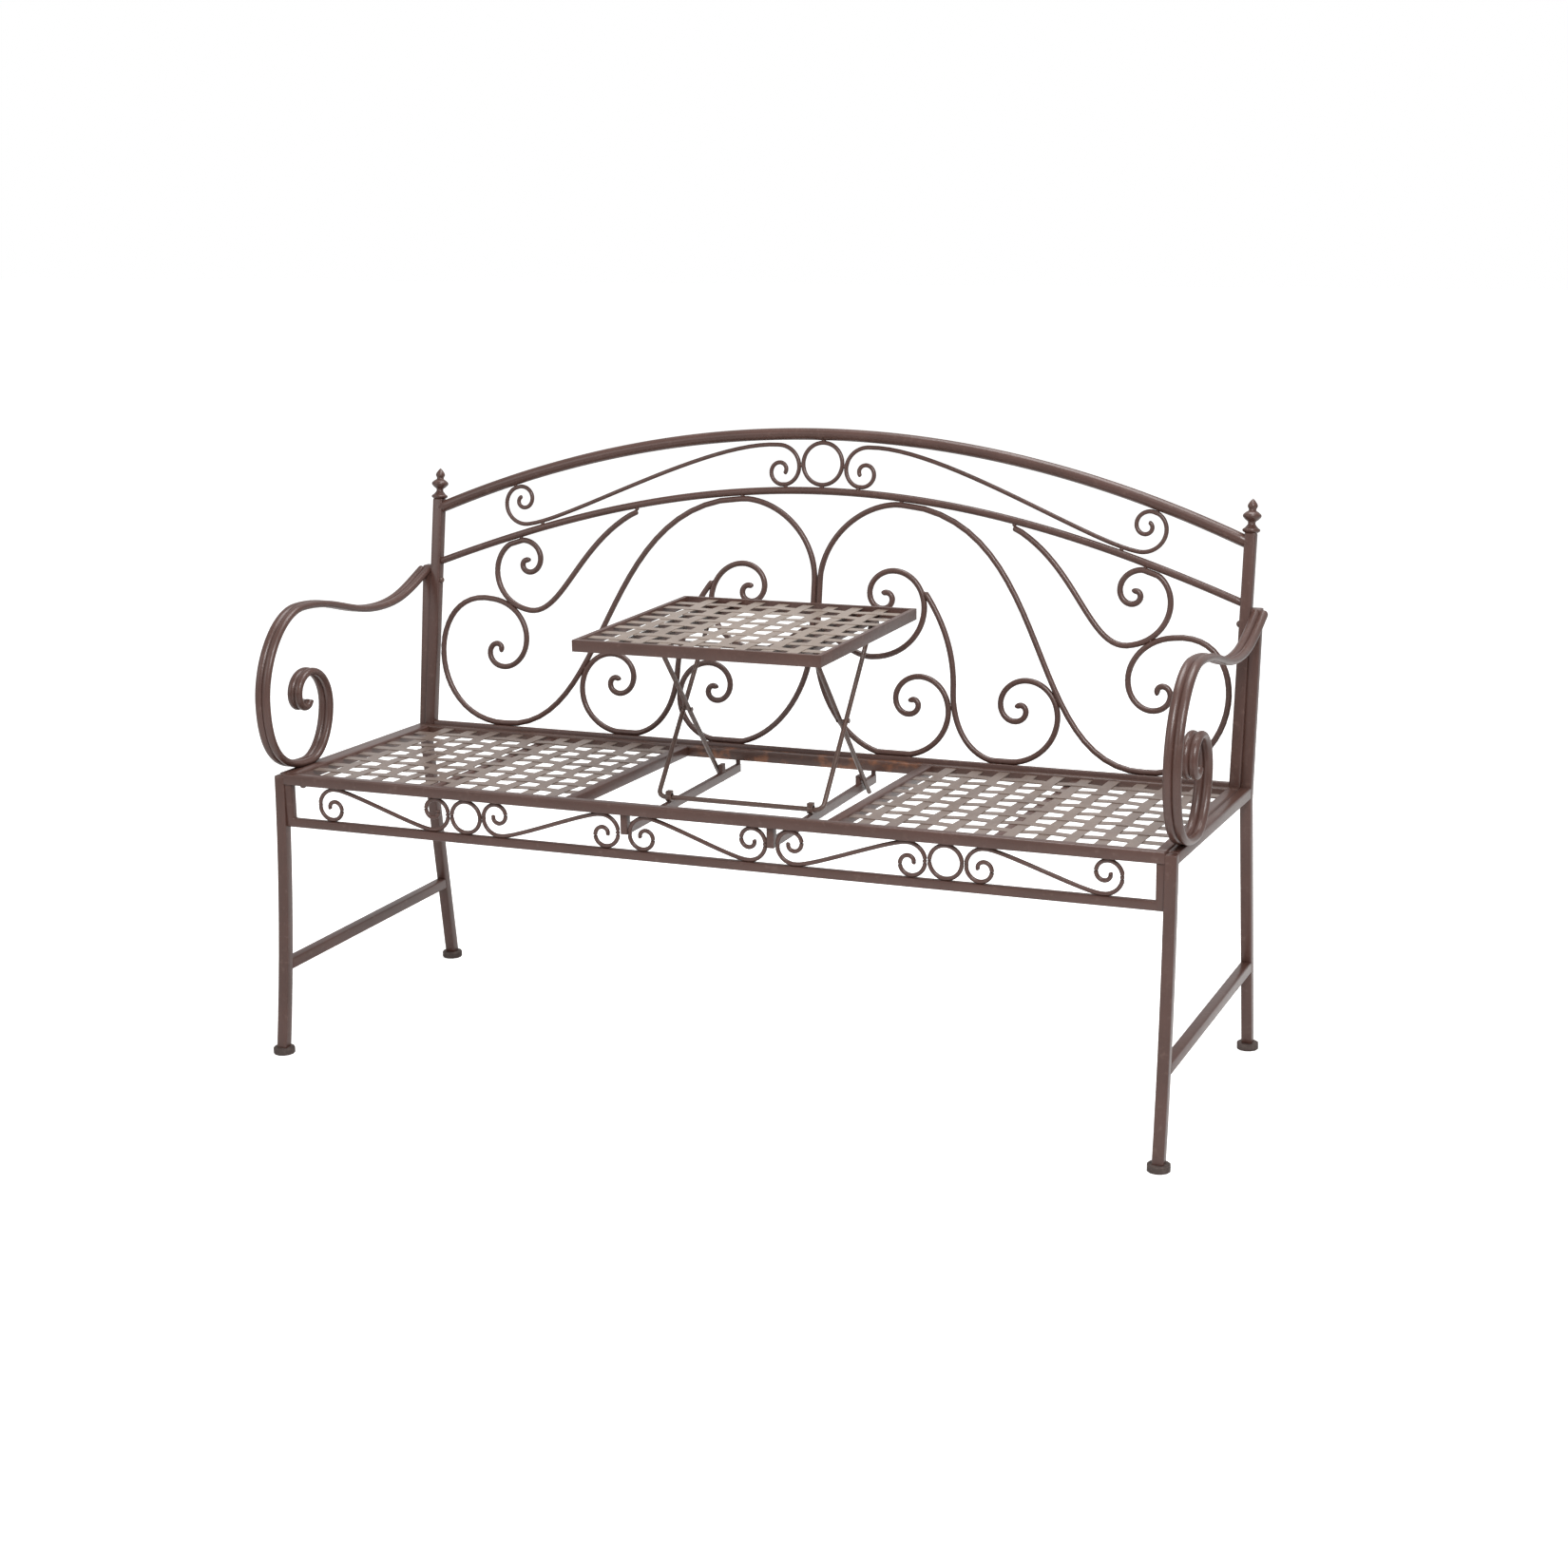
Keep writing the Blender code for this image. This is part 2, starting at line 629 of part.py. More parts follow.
def wave_scroll():
    """Starts beside the inner scroll and rolls up on the bottom rail."""
    end = curl((0.5065, 0.1217), 0.1199, 0.007, -90, 520, 1.95)
    side, down = (0.3471, 0.1548), (0.02, -1)
    return lower_scroll(
        link((0.2735, 0.3666), (0.8, -1), side, down, 0.3, 0.4, 4),
        link(side, down, end[0], end[1] - end[0], 0.45),
        end,
    )


def inner_scroll():
    """Springs from the upright stretch of the arch and rolls up above the lower scroll."""
    end = curl((0.172, 0.3568), 0.1387, 0.0124, -100, 496, 2.5)
    arch_face = SCROLL_DIA + 1.5 * GAP
    start = (arch_face / POST_INNER, 0.2814)
    path = lower_scroll(link(start, (1, -0.6), end[0], end[1] - end[0], 0.3, steps=4), end)
    path[0, 0] = arch_face
    return path


def finial_profile():
    """Turned shape as shares of the finial's radius and height."""
    shares = [
        (0, 0), (0.66, 0), (0.97, 0.06), (0.95, 0.12), (0.46, 0.24), (0.4, 0.33), (0.9, 0.43),
        (1, 0.5), (0.9, 0.57), (0.43, 0.63), (0.42, 0.68), (0.55, 0.77), (0.42, 0.86), (0.2, 0.95), (0, 1),
    ]
    return [(r * FINIAL_DIA / 2, h * FINIAL_HEIGHT) for r, h in shares]


def build_back():
    plane = facing(0)
    for name, height, dia, sides in (
        ("top_rail", top_rail_height, TOP_RAIL_DIA, 8),
        ("middle_rail", middle_rail_height, MIDDLE_RAIL_DIA, 6),
    ):
        path = np.column_stack([RAIL_X, height(RAIL_X)])
        add(name, sweep(path, round_section(dia, sides), plane, (0, 1), (0, 1)), BROWN, BACK, 65)
    half = SLIM_BAR / 2
    rail_end = POST_INNER - GAP
    rail = box((-rail_end, -half, -BOTTOM_RAIL_BELOW - half), (rail_end, half, half - BOTTOM_RAIL_BELOW))
    add("bottom_rail", rail, BROWN, BACK)
    low = MIDDLE_RAIL_RISE + MIDDLE_RAIL_DIA / 2 + GAP
    high = TOP_RAIL_RISE - TOP_RAIL_DIA / 2 - GAP
    ring = circle((0, (low + high) / 2), (high - low - RING_BAR_DIA) / 2)
    add("centre_ring", sweep(ring, round_section(RING_BAR_DIA), plane, closed=True), BROWN, BACK, 65)
    scrolls = (
        ("crest", crest_scroll(), CREST_DIA, None),
        ("hook", hook_scroll(), SCROLL_DIA, None),
        ("arch", arch_scroll(), SCROLL_DIA, None),
        ("wave", wave_scroll(), SCROLL_DIA, None),
        ("inner", inner_scroll(), SCROLL_DIA, (0, 1)),
    )
    for name, side in SIDES:
        post = mirrored_box(
            (POST_INNER, -TUBE / 2, -POST_BELOW_BACK), (SEAT_HALF, TUBE / 2, BACK_POST_RISE), side
        )
        add(f"{name}_back_post", post, BROWN, BACK)
        x = side * (POST_INNER + SEAT_HALF) / 2
        base = BACK_POST_RISE + GAP
        finial = lathe(finial_profile(), 10, lambda a, b, h: (x + a, b, base + h))
        add(f"{name}_finial", finial, BROWN, BACK, 50)
        for kind, path, dia, cut in scrolls:
            shape = sweep(path * [side, 1], round_section(dia), plane, cut)
            add(f"{name}_{kind}_scroll", shape, BROWN, BACK, 65)
        nut = [(0, 0), (BOLT_DIA / 2, 0), (BOLT_DIA / 2, BOLT_LENGTH), (0, BOLT_LENGTH)]
        face = POST_INNER - GAP
        bolt = lathe(nut, 6, lambda a, b, h: (side * (face - h), a, BOLT_RISE + b))
        add(f"{name}_back_bolt", bolt, DARK_STEEL, BACK)


# Apron
def apron_scroll(length, height):
    """Centre line of a lying S scroll about its own middle, alike at both ends."""
    reach, rise = (length - APRON_SCROLL_DIA) / 2, (height - APRON_SCROLL_DIA) / 2
    roll = curl((0.96 * rise - reach, -0.21 * rise), 1.24 * rise, 0.26 * rise, 78, 560, 1.3)
    aim = roll[0] - roll[1]
    half = chain(roll[::-1], link(roll[0], aim, -roll[0], aim, 0.15))
    return np.clip(np.vstack([half, -roll[1:]]), (-reach, -rise), (reach, rise))


def build_apron():
    plane = facing(SEAT_FRONT_Y + TUBE / 2)
    side_x = SEAT_HALF - SLIM_BAR / 2
    low = APRON_BOTTOM + SLIM_BAR / 2
    corners = [(-side_x, FRONT_RAIL_UNDER), (-side_x, low), (side_x, low), (side_x, FRONT_RAIL_UNDER)]
    frame = sweep(corners, flat_section(SLIM_BAR, SLIM_BAR), plane)
    add("apron_frame", frame, BROWN)
    floor = APRON_BOTTOM + SLIM_BAR + GAP
    height = FRONT_RAIL_UNDER - floor
    middle = (FRONT_RAIL_UNDER + floor) / 2
    centre_length = 2 * (SUPPORT_INNER_X - GAP)
    inner_x = SUPPORT_INNER_X + STRAP_WIDTH + APRON_SCROLL_SPACE + APRON_SCROLL_LENGTH / 2
    ring_x = inner_x + APRON_SCROLL_LENGTH / 2 + GAP + height / 2
    outer_x = ring_x + height / 2 + GAP + APRON_SCROLL_LENGTH / 2
    section = round_section(APRON_SCROLL_DIA, 5)
    for k, x in enumerate((-outer_x, -inner_x, 0, inner_x, outer_x)):
        path = apron_scroll(APRON_SCROLL_LENGTH if x else centre_length, height)
        path = path * [1 if k % 2 == 0 else -1, 1] + [x, middle]
        add(f"apron_scroll_{k + 1}", sweep(path, section, plane), BROWN, smooth=75)
    radius = (height - APRON_SCROLL_DIA) / 2
    for name, side in SIDES:
        ring = circle((side * ring_x, middle), radius)
        add(f"{name}_apron_ring", sweep(ring, section, plane, closed=True), BROWN, smooth=75)


# Folding table
def build_supports():
    """The bars under the bay, hung on straps, each with a lug and a pin for a rear leg."""
    inset = 0.001
    inner, outer = SUPPORT_INNER_X + inset, SUPPORT_OUTER_X
    bottom = SUPPORT_TOP - SUPPORT_HEIGHT
    strap_front = BAY_FRONT + TABLE_END_SPACE / 2 - STRAP_DEPTH
    bar_front = SEAT_FRONT_Y + (TUBE + APRON_SCROLL_DIA) / 2 + inset
    strap_back = SEAT_FRONT_Y + SEAT_DEPTH - (TUBE - REAR_STRAP_DEPTH) / 2
    back_under = SEAT_Z - SEAT_DEPTH * math.sin(SEAT_FALL) - TUBE - GAP
    pin_y, pin_z = HINGE[1:]
    for name, side in SIDES:
        bar = mirrored_box((inner, bar_front, bottom), (outer, strap_back - inset, SUPPORT_TOP), side)
        support = add(f"{name}_table_support", bar, BROWN)
        pieces = {
            "front_strap": (
                (SUPPORT_INNER_X, strap_front, bottom + inset),
                (SUPPORT_INNER_X + STRAP_WIDTH, strap_front + STRAP_DEPTH, FRONT_RAIL_UNDER),
            ),
            "rear_strap": (
                (inner + inset, strap_back - REAR_STRAP_DEPTH, bottom + inset),
                (outer - inset, strap_back, back_under),
            ),
            "lug": (
                (inner + inset, pin_y - LUG_REACH, SUPPORT_TOP - inset),
                (outer - inset / 2, pin_y + LUG_REACH, pin_z + LUG_REACH),
            ),
        }
        for kind, (low, high) in pieces.items():
            piece = helper(f"{name}_{kind}", mirrored_box(low, high, side))
            combine(support, piece, "UNION")
        ends = sorted((side * (inner + 2 * inset), side * (REAR_ROD_X + ROD_DIA / 2 + GAP)))
        combine(support, helper(f"{name}_pin", rod_along_x(*ends, RIVET_DIA / 2, HINGE)), "UNION")


def bent_rod(half_width, start, end):
    """A U of round rod in the X and Y plane: its cross part lies at start and its ends at end."""
    corners = [(-half_width, end), (-half_width, start), (half_width, start), (half_width, end)]
    path = round_corners(corners, ROD_BEND, 3)
    return sweep(path, round_section(ROD_DIA), lambda x, y, depth: (x, y, depth))


def build_scissor():
    """The two bent rods that carry the table, and the rivets where they cross."""
    front_place, rear_place = (SCISSOR, FOLD_ANGLE), (HINGE, math.pi - FOLD_ANGLE)
    front_rod = bent_rod(FRONT_ROD_X, -ROD_LOWER, ROD_UPPER + ROD_PAST_EAR)
    rear_rod = bent_rod(REAR_ROD_X, ROD_LENGTH, -ROD_PAST_PIN)
    front = add("front_legs", front_rod, DARK_STEEL, front_place, 50)
    rear = add("rear_legs", rear_rod, DARK_STEEL, rear_place, 50)
    for kind, legs, inner_x, place in (
        ("lower", front, SUPPORT_INNER_X, SCISSOR - ROD_LOWER * ROD_AIM),
        ("upper", rear, UPPER_COLLAR_INNER_X, HINGE + ROD_LENGTH * ROD_AIM * [0, -1, 1]),
    ):
        for name, side in SIDES:
            ends = sorted((side * inner_x, side * (inner_x + COLLAR_LENGTH)))
            collar = helper(f"{name}_{kind}_collar", rod_along_x(*ends, COLLAR_DIA / 2, place))
            combine(legs, collar, "UNION")
    for name, place, legs in (
        ("rivet_hole", SCISSOR, (front, rear)),
        ("pin_hole", HINGE, (rear,)),
        ("ear_pin_hole", TABLE_PIVOT, (front,)),
    ):
        hole = helper(name, rod_along_x(-LEG_X, LEG_X, RIVET_DIA / 2 + 2 * GAP, place))
        for leg in legs:
            combine(leg, hole, "DIFFERENCE")
    inner = REAR_ROD_X - ROD_DIA / 2 - GAP
    outer = FRONT_ROD_X + ROD_DIA / 2 + GAP
    head, pin = RIVET_HEAD_DIA / 2, RIVET_DIA / 2
    profile = [
        (0, inner - RIVET_HEAD_THICK), (head, inner - RIVET_HEAD_THICK), (head, inner),
        (pin, inner), (pin, outer),
        (head, outer), (head, outer + RIVET_HEAD_THICK), (0, outer + RIVET_HEAD_THICK),
    ]
    for name, side in SIDES:
        rivet = lathe(profile, 8, lambda a, b, h: (side * h, a, b))
        add(f"{name}_rivet", rivet, DARK_STEEL, (SCISSOR, 0), 50)


def build_table():
    """The table's frame and woven top about the pivot that carries them."""
    place = (TABLE_PIVOT, 0)
    half = TABLE_HALF - SKIRT_THICK / 2
    front, back = TABLE_BACK - TABLE_DEPTH + SKIRT_THICK / 2, TABLE_BACK - SKIRT_THICK / 2
    top = PIVOT_BELOW_TOP
    ring = [(-half, front), (half, front), (half, back), (-half, back)]
    middle = top - SKIRT_HEIGHT / 2
    skirt = sweep(
        ring, flat_section(SKIRT_THICK, SKIRT_HEIGHT), lambda x, y, depth: (x, y, middle + depth), closed=True
    )
    frame = add("table_frame", skirt, BROWN, place)
    inset = SKIRT_THICK / 4
    runner_under = COLLAR_DIA / 2 + GAP
    ear_inner = FRONT_ROD_X + ROD_DIA / 2 + LUG_SPACE
    ear_outer = ear_inner + EAR_THICK
    pieces = {
        "runner": (
            (UPPER_COLLAR_INNER_X - inset, front - inset, runner_under),
            (ear_outer + inset / 2, back + inset, top - RUNNER_TOP_DROP),
        ),
        "ear": ((ear_inner, -LUG_REACH, -LUG_REACH), (ear_outer, LUG_REACH, runner_under + inset)),
    }
    for name, side in SIDES:
        for kind, (low, high) in pieces.items():
            combine(frame, helper(f"{name}_{kind}", mirrored_box(low, high, side), place), "UNION")
        ends = sorted((side * (FRONT_ROD_X - ROD_DIA / 2 - GAP), side * (ear_outer - inset)))
        pin = helper(f"{name}_ear_pin", rod_along_x(*ends, RIVET_DIA / 2, (0, 0, 0)), place)
        combine(frame, pin, "UNION")
    inside = half - SKIRT_THICK / 2
    room_x, room_y = 9.2, 8.7
    long_x = even_strips(-inside, inside, TABLE_STRIPS, (room_x + 1 - TABLE_STRIPS) / 2, room_x)
    near, far = front + SKIRT_THICK / 2, back - SKIRT_THICK / 2
    cross_y = even_strips(near, far, TABLE_STRIPS, (room_y + 1 - TABLE_STRIPS) / 2, room_y)
    ends = (GAP - inside, inside - GAP), (near + GAP, far - GAP)
    add("table_weave", weave(long_x, cross_y, *ends, top - WEAVE_DROP), WOVEN_BROWN, place)


def centre_on_floor():
    """Moves everything so that the middle of the bench's depth lies over the origin."""
    front = FRONT_FOOT_Y - FOOT_DIA / 2
    top_rail_y = BACK_Y + TOP_RAIL_RISE * math.sin(BACK_LEAN)
    rear = top_rail_y + TOP_RAIL_DIA / 2 * math.cos(BACK_LEAN)
    for obj in bpy.data.objects:
        obj.location.y -= (front + rear) / 2


clear_scene()
for side_name, side_sign in SIDES:
    build_side_frame(side_name, side_sign)
build_seat()
build_back()
build_apron()
build_supports()
build_scissor()
build_table()
centre_on_floor()
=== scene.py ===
"""Looks of the garden bench with a folding table: brown enamel on steel bars, scrolls and woven strips.

Sizes are in metres. X runs to the viewer's right, Y to the back and Z up from the floor.
"""

import json
import math

import bpy
import numpy as np
from mathutils import Matrix, Vector

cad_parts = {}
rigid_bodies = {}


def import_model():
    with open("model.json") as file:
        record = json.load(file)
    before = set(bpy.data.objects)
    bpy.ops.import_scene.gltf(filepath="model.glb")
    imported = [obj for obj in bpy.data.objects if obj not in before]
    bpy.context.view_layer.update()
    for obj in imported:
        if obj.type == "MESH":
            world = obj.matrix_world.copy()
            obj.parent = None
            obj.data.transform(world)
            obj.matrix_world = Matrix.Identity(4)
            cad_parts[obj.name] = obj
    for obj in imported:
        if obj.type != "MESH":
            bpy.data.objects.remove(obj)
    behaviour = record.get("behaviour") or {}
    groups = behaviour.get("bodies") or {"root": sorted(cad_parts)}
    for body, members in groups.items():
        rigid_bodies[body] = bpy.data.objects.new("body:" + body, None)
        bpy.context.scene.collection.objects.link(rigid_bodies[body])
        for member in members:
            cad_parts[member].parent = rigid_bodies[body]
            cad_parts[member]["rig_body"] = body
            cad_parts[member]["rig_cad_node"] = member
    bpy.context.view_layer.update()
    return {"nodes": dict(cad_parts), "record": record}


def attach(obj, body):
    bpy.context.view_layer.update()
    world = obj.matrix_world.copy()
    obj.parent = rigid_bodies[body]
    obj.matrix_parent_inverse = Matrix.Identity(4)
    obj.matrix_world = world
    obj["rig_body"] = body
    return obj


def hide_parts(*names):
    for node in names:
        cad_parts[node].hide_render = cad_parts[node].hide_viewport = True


MM = 0.001

# Camera, worked out from the photograph's perspective
CAMERA_PLACE = Vector((1.63645, -3.78581, 1.46194))
CAMERA_YAW = math.radians(22.848)
CAMERA_PITCH = math.radians(13.856)
CAMERA_ROLL = math.radians(-0.98)
CAMERA_LENS = 61.17
CAMERA_SENSOR = 36.0

# Tubes, seat and feet
GAP = 0.3 * MM
TUBE = 16 * MM
TUBE_EXTRA = 0.9 * MM
SLIM_BAR = 12 * MM
BAY_HALF = 0.2097
SEAT_FALL = math.radians(1.5)
SEAT_FLATNESS = 0.8
FOOT_GROWTH = 1.1

# Back, with heights along its lean
POST_INNER = 0.7107
BACK_POST_RISE = 0.384
BACK_PLACE = np.array([0, 0.209117, 0.46])
BACK_LEAN = math.radians(9.45)
TOP_RAIL_DIA = 20 * MM
TOP_RAIL_RISE = 0.5165
TOP_RAIL_DROP = 0.1455
MIDDLE_RAIL_DIA = 12.5 * MM
MIDDLE_RAIL_RISE = 0.4235
MIDDLE_RAIL_DROP = 0.1475
BOTTOM_RAIL_RISE = -10.5 * MM
FINIAL_DIA = 29 * MM
FINIAL_HEIGHT = 53.5 * MM

# Scrolls of the back; their sketch is in shares of the half width, and of this rise and band in height
SCROLL_DIA = 9.8 * MM
SCROLL_FLOOR = 0.7 * MM
CREST_DIA = 7.2 * MM
SKETCH_RISE = 0.596
SKETCH_BAND = 0.131

# Welds and bolts
WELD_DIA = 7 * MM
WELD_REACH = 1.2 * MM
WELD_UNEVENNESS = 0.12
WELD_SEARCH_STEP = 2 * MM
BOLT_DIA = 11.5 * MM
BOLT_HEIGHT = 5.5 * MM
BOLT_RISE = 0.243
RAIL_BOLT_X = 0.695

# Table and its scissor legs
HINGE = np.array([0, 0.123066, 0.434])
TABLE_RISE = 0.252
TABLE_FLATNESS = 0.5
RUNNER_END = 20 * MM
TRACK_EDGE = 1 * MM
ROD_DIA = 8 * MM
ROD_BEND = 12 * MM
ROD_LOWER = 0.1585
ROD_UPPER = 0.1735
ROD_PAST_PIN = 36 * MM
ROD_PAST_EAR = 6 * MM
FRONT_ROD_X = 140.5 * MM
REAR_ROD_X = 130.5 * MM
COLLAR_DIA = 14.5 * MM
COLLAR_LENGTH = 9.5 * MM
LOWER_COLLAR_X = 120.75 * MM
UPPER_COLLAR_X = 108.75 * MM
KEEPER_RISE = 10.5 * MM
KEEPER_DEPTH = 11 * MM

# Armrests, with places along the middle of the bar as (Y, Z)
ARM_X = 0.741
ARM_WIDTH = 27 * MM
ARM_THICK = 12 * MM
ARM_GROOVE = 3.8 * MM
ARM_END = (0.24538, 0.717)
ARM_END_AIM = (0.93, 0.37)
ARM_DIP = (0.09371, 0.679)
ARM_CREST = (-0.15629, 0.719)
ARM_FRONT = (-0.27679, 0.58)
ARM_LOW = (-0.16129, 0.46398)
ARM_CURL_CENTRE = (-0.15929, 0.568)
ARM_CURL_OUTER = 71.8 * MM
ARM_CURL_INNER = 8.9 * MM
POST_AIM = (0.0405, 0.294)

# Apron under the seat front
APRON_DIA = 6.8 * MM
APRON_Y = -0.24579
APRON_TOP = 0.44579
APRON_FLOOR = 0.38879
APRON_SCROLL_LENGTH = 0.24
APRON_SCROLL_SPACE = 2.5 * MM
STRAP_INNER_X = 0.116
STRAP_WIDTH = 11 * MM

# Rounded edges, and the angles up to which faces are shaded as one
TUBE_CORNER = 2.4 * MM
SLIM_CORNER = 1.2 * MM
FOOT_CORNER = 1.5 * MM
FITTING_CORNER = 0.8 * MM
SHARP_ANGLE = math.radians(40)
SMOOTH_ANGLE = math.radians(35)
TURNED_SMOOTH_ANGLE = math.radians(50)
BAR_SMOOTH_ANGLE = math.radians(60)

# How finely the round pieces are drawn
CURL_STEP = 6
BAR_ROUNDNESS = 3
RAIL_POINTS = 81
FINIAL_STEPS = 40
SAME_PLACE = 0.01 * MM

# Light: each lamp has a name, a place, the side of its square and its watts
LAMPS = (
    ("key", (1.9, -2.4, 3.4), 1.3, 105),
    ("top", (0.4, 0.8, 4.0), 2.2, 95),
    ("fill", (-2.8, -3.0, 2.4), 2.0, 26),
)
LAMP_TARGET = Vector((0, 0, 0.5))
SKY_LIGHT = 0.4
SKY_SHINE = 0.7
PAPER_GLOW = 0.68
PAPER_SHINE = 0.18
PAPER_SIZE = 40

SIDES = (("left", -1), ("right", 1))

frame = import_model()
nodes = frame["nodes"]
slots = {part["node"]: part["material_slot"] for part in frame["record"]["subparts"]}


def linear(hex_colour):
    """An sRGB hex colour as linear red, green, blue and alpha."""
    shares = [int(hex_colour[k:k + 2], 16) / 255 for k in (1, 3, 5)]
    return [s / 12.92 if s <= 0.04045 else ((s + 0.055) / 1.055) ** 2.4 for s in shares] + [1]


# Materials
def node(tree, kind, settings=None, **links):
    """Adds a shader node with its settings; a link's name is the input socket's, with _ for a space."""
    made = tree.nodes.new(kind)
    for name, value in (settings or {}).items():
        if name in made.inputs:
            made.inputs[name].default_value = value
        else:
            setattr(made, name, value)
    for name, source in links.items():
        tree.links.new(source, made.inputs[name.replace("_", " ")])
    return made


def new_material(name):
    material = bpy.data.materials.new(name)
    material.use_nodes = True
    tree = material.node_tree
    tree.nodes.clear()
    return material, tree


def per_size(size):
    """Noise scale for patches of about this size in metres."""
    return 1 / (2 * size)


def patches(tree, place, size, low, high, detail=4):
    """Soft-edged patches as a factor from 0 to 1."""
    noise = node(tree, "ShaderNodeTexNoise", {"Scale": per_size(size), "Detail": detail}, Vector=place)
    return node(
        tree, "ShaderNodeMapRange", {"From Min": low, "From Max": high, "interpolation_type": "SMOOTHSTEP"},
        Value=noise.outputs["Fac"],
    ).outputs["Result"]


def blend_colour(tree, factor, first, second):
    """Mixes two colours, each a hex value or another node's colour."""
    mix = node(tree, "ShaderNodeMix", {"data_type": "RGBA"})
    tree.links.new(factor, mix.inputs[0])
    for socket, colour in ((mix.inputs[6], first), (mix.inputs[7], second)):
        if isinstance(colour, str):
            socket.default_value = linear(colour)
        else:
            tree.links.new(colour, socket)
    return mix.outputs[2]


def satin_enamel(name, base, shade, rubbed, primer=None):
    """Baked enamel on mild steel: an even brown with a soft sheen, faint clouds and an orange-peel skin.

    The primer is a warmer coat that shows through in worn patches beside the table.
    """
    material, tree = new_material(name)
    place = node(tree, "ShaderNodeTexCoord").outputs["Object"]
    clouds = patches(tree, place, 40 * MM, 0.3, 0.75)
    colour = blend_colour(tree, clouds, base, shade)
    dust = patches(tree, place, 5 * MM, 0.55, 0.85, 6)
    colour = blend_colour(tree, dust, colour, rubbed)
    if primer:
        worn = patches(tree, place, 12 * MM, 0.47, 0.66, 6)
        across = node(tree, "ShaderNodeSeparateXYZ", Vector=place).outputs["X"]
        away = node(tree, "ShaderNodeMath", {"operation": "ABSOLUTE"}, Value=across)
        in_bay = node(
            tree, "ShaderNodeMapRange",
            {"From Min": BAY_HALF - TUBE, "From Max": BAY_HALF, "To Min": 1, "To Max": 0},
            Value=away.outputs["Value"],
        )
        shown = node(tree, "ShaderNodeMath", {"operation": "MULTIPLY"}, Value=worn)
        tree.links.new(in_bay.outputs["Result"], shown.inputs[1])
        colour = blend_colour(tree, shown.outputs["Value"], colour, primer)
    peel = node(tree, "ShaderNodeTexNoise", {"Scale": per_size(1.5 * MM), "Detail": 2}, Vector=place)
    sheen = node(tree, "ShaderNodeMapRange", {"To Min": 0.26, "To Max": 0.4}, Value=peel.outputs["Fac"])
    bump = node(tree, "ShaderNodeBump", {"Strength": 0.2, "Distance": 0.15 * MM}, Height=peel.outputs["Fac"])
    shader = node(
        tree, "ShaderNodeBsdfPrincipled",
        Base_Color=colour, Roughness=sheen.outputs["Result"], Normal=bump.outputs["Normal"],
    )
    node(tree, "ShaderNodeOutputMaterial", Surface=shader.outputs["BSDF"])
    return material


def moulded_rubber(name, base, dusty):
    """Moulded rubber foot discs: a dark brown, matt and faintly dusty."""
    material, tree = new_material(name)
    place = node(tree, "ShaderNodeTexCoord").outputs["Object"]
    dust = patches(tree, place, 4 * MM, 0.45, 0.75, 6)
    colour = blend_colour(tree, dust, base, dusty)
    grain = node(tree, "ShaderNodeTexNoise", {"Scale": per_size(0.8 * MM)}, Vector=place).outputs["Fac"]
    bump = node(tree, "ShaderNodeBump", {"Strength": 0.2, "Distance": 0.2 * MM}, Height=grain)
    shader = node(
        tree, "ShaderNodeBsdfPrincipled", {"Roughness": 0.75},
        Base_Color=colour, Normal=bump.outputs["Normal"],
    )
    node(tree, "ShaderNodeOutputMaterial", Surface=shader.outputs["BSDF"])
    return material


BROWN_ENAMEL = satin_enamel("brown_enamel", "#543a33", "#4c342d", "#634b43")
# The woven strips wear the frame's brown enamel, lifted here to a paler grey-brown: a painted reflection of
# the bright surroundings at grazing angles
WOVEN_REFLECTION_ENAMEL = satin_enamel("woven_strip_painted_reflection", "#7a6a61", "#6d5d55", "#897b72")
# The table's strips are the same enamel, painted paler still: a painted reflection of the bright light
# falling on the table top from above and behind
TABLE_REFLECTION_ENAMEL = satin_enamel("table_strip_painted_reflection", "#8e7f74", "#807268", "#9d9086")
DARK_ENAMEL = satin_enamel("dark_rod_enamel", "#5e4840", "#544038", "#6e5a51")
WORN_ENAMEL = satin_enamel("worn_rail_enamel", "#503830", "#46312a", "#614b42", "#7d5138")
FOOT_RUBBER = moulded_rubber("foot_rubber", "#463a36", "#5c4f4a")
FINISHES = {
    "brown_paint": BROWN_ENAMEL,
    "woven_strip": WOVEN_REFLECTION_ENAMEL,
    "dark_steel": DARK_ENAMEL,
    "foot_cap": FOOT_RUBBER,
}


# Making pieces
def select_only(*objs):
    bpy.ops.object.select_all(action="DESELECT")
    for obj in objs:
        obj.select_set(True)
    bpy.context.view_layer.objects.active = objs[0]


def fit_detail(piece, name, beside):
    """Names a piece and lets it ride and be painted like the node that it stands beside or for."""
    piece.name = name
    piece.data.name = name
    piece.data.materials.clear()
    piece.data.materials.append(FINISHES[slots[beside]])
    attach(piece, nodes[beside]["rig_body"])


def finish_piece(piece, name, replaced):
    """Names and paints a piece and lets it stand for a CAD node."""
    fit_detail(piece, name, replaced)
    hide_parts(replaced)


def placed_copy(model, place, turn=(0, 0, 0)):
    """A copy, with its own mesh, of a shape that was modelled on the origin."""
    select_only(model)
    bpy.ops.object.duplicate()
    copy = bpy.context.object
    copy.location = place
    copy.rotation_euler = turn
    bpy.ops.object.transform_apply()
    return copy


def merged_copy(name):
    """A copy of a CAD node as one clean mesh."""
    select_only(nodes[name])
    bpy.ops.object.duplicate()
    piece = bpy.context.object
    del piece["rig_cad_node"]
    bpy.ops.object.mode_set(mode="EDIT")
    bpy.ops.mesh.select_all(action="SELECT")
    bpy.ops.mesh.customdata_custom_splitnormals_clear()
    bpy.ops.mesh.remove_doubles(threshold=SAME_PLACE)
    bpy.ops.mesh.dissolve_limited(angle_limit=math.radians(0.5))
    bpy.ops.object.mode_set(mode="OBJECT")
    return piece


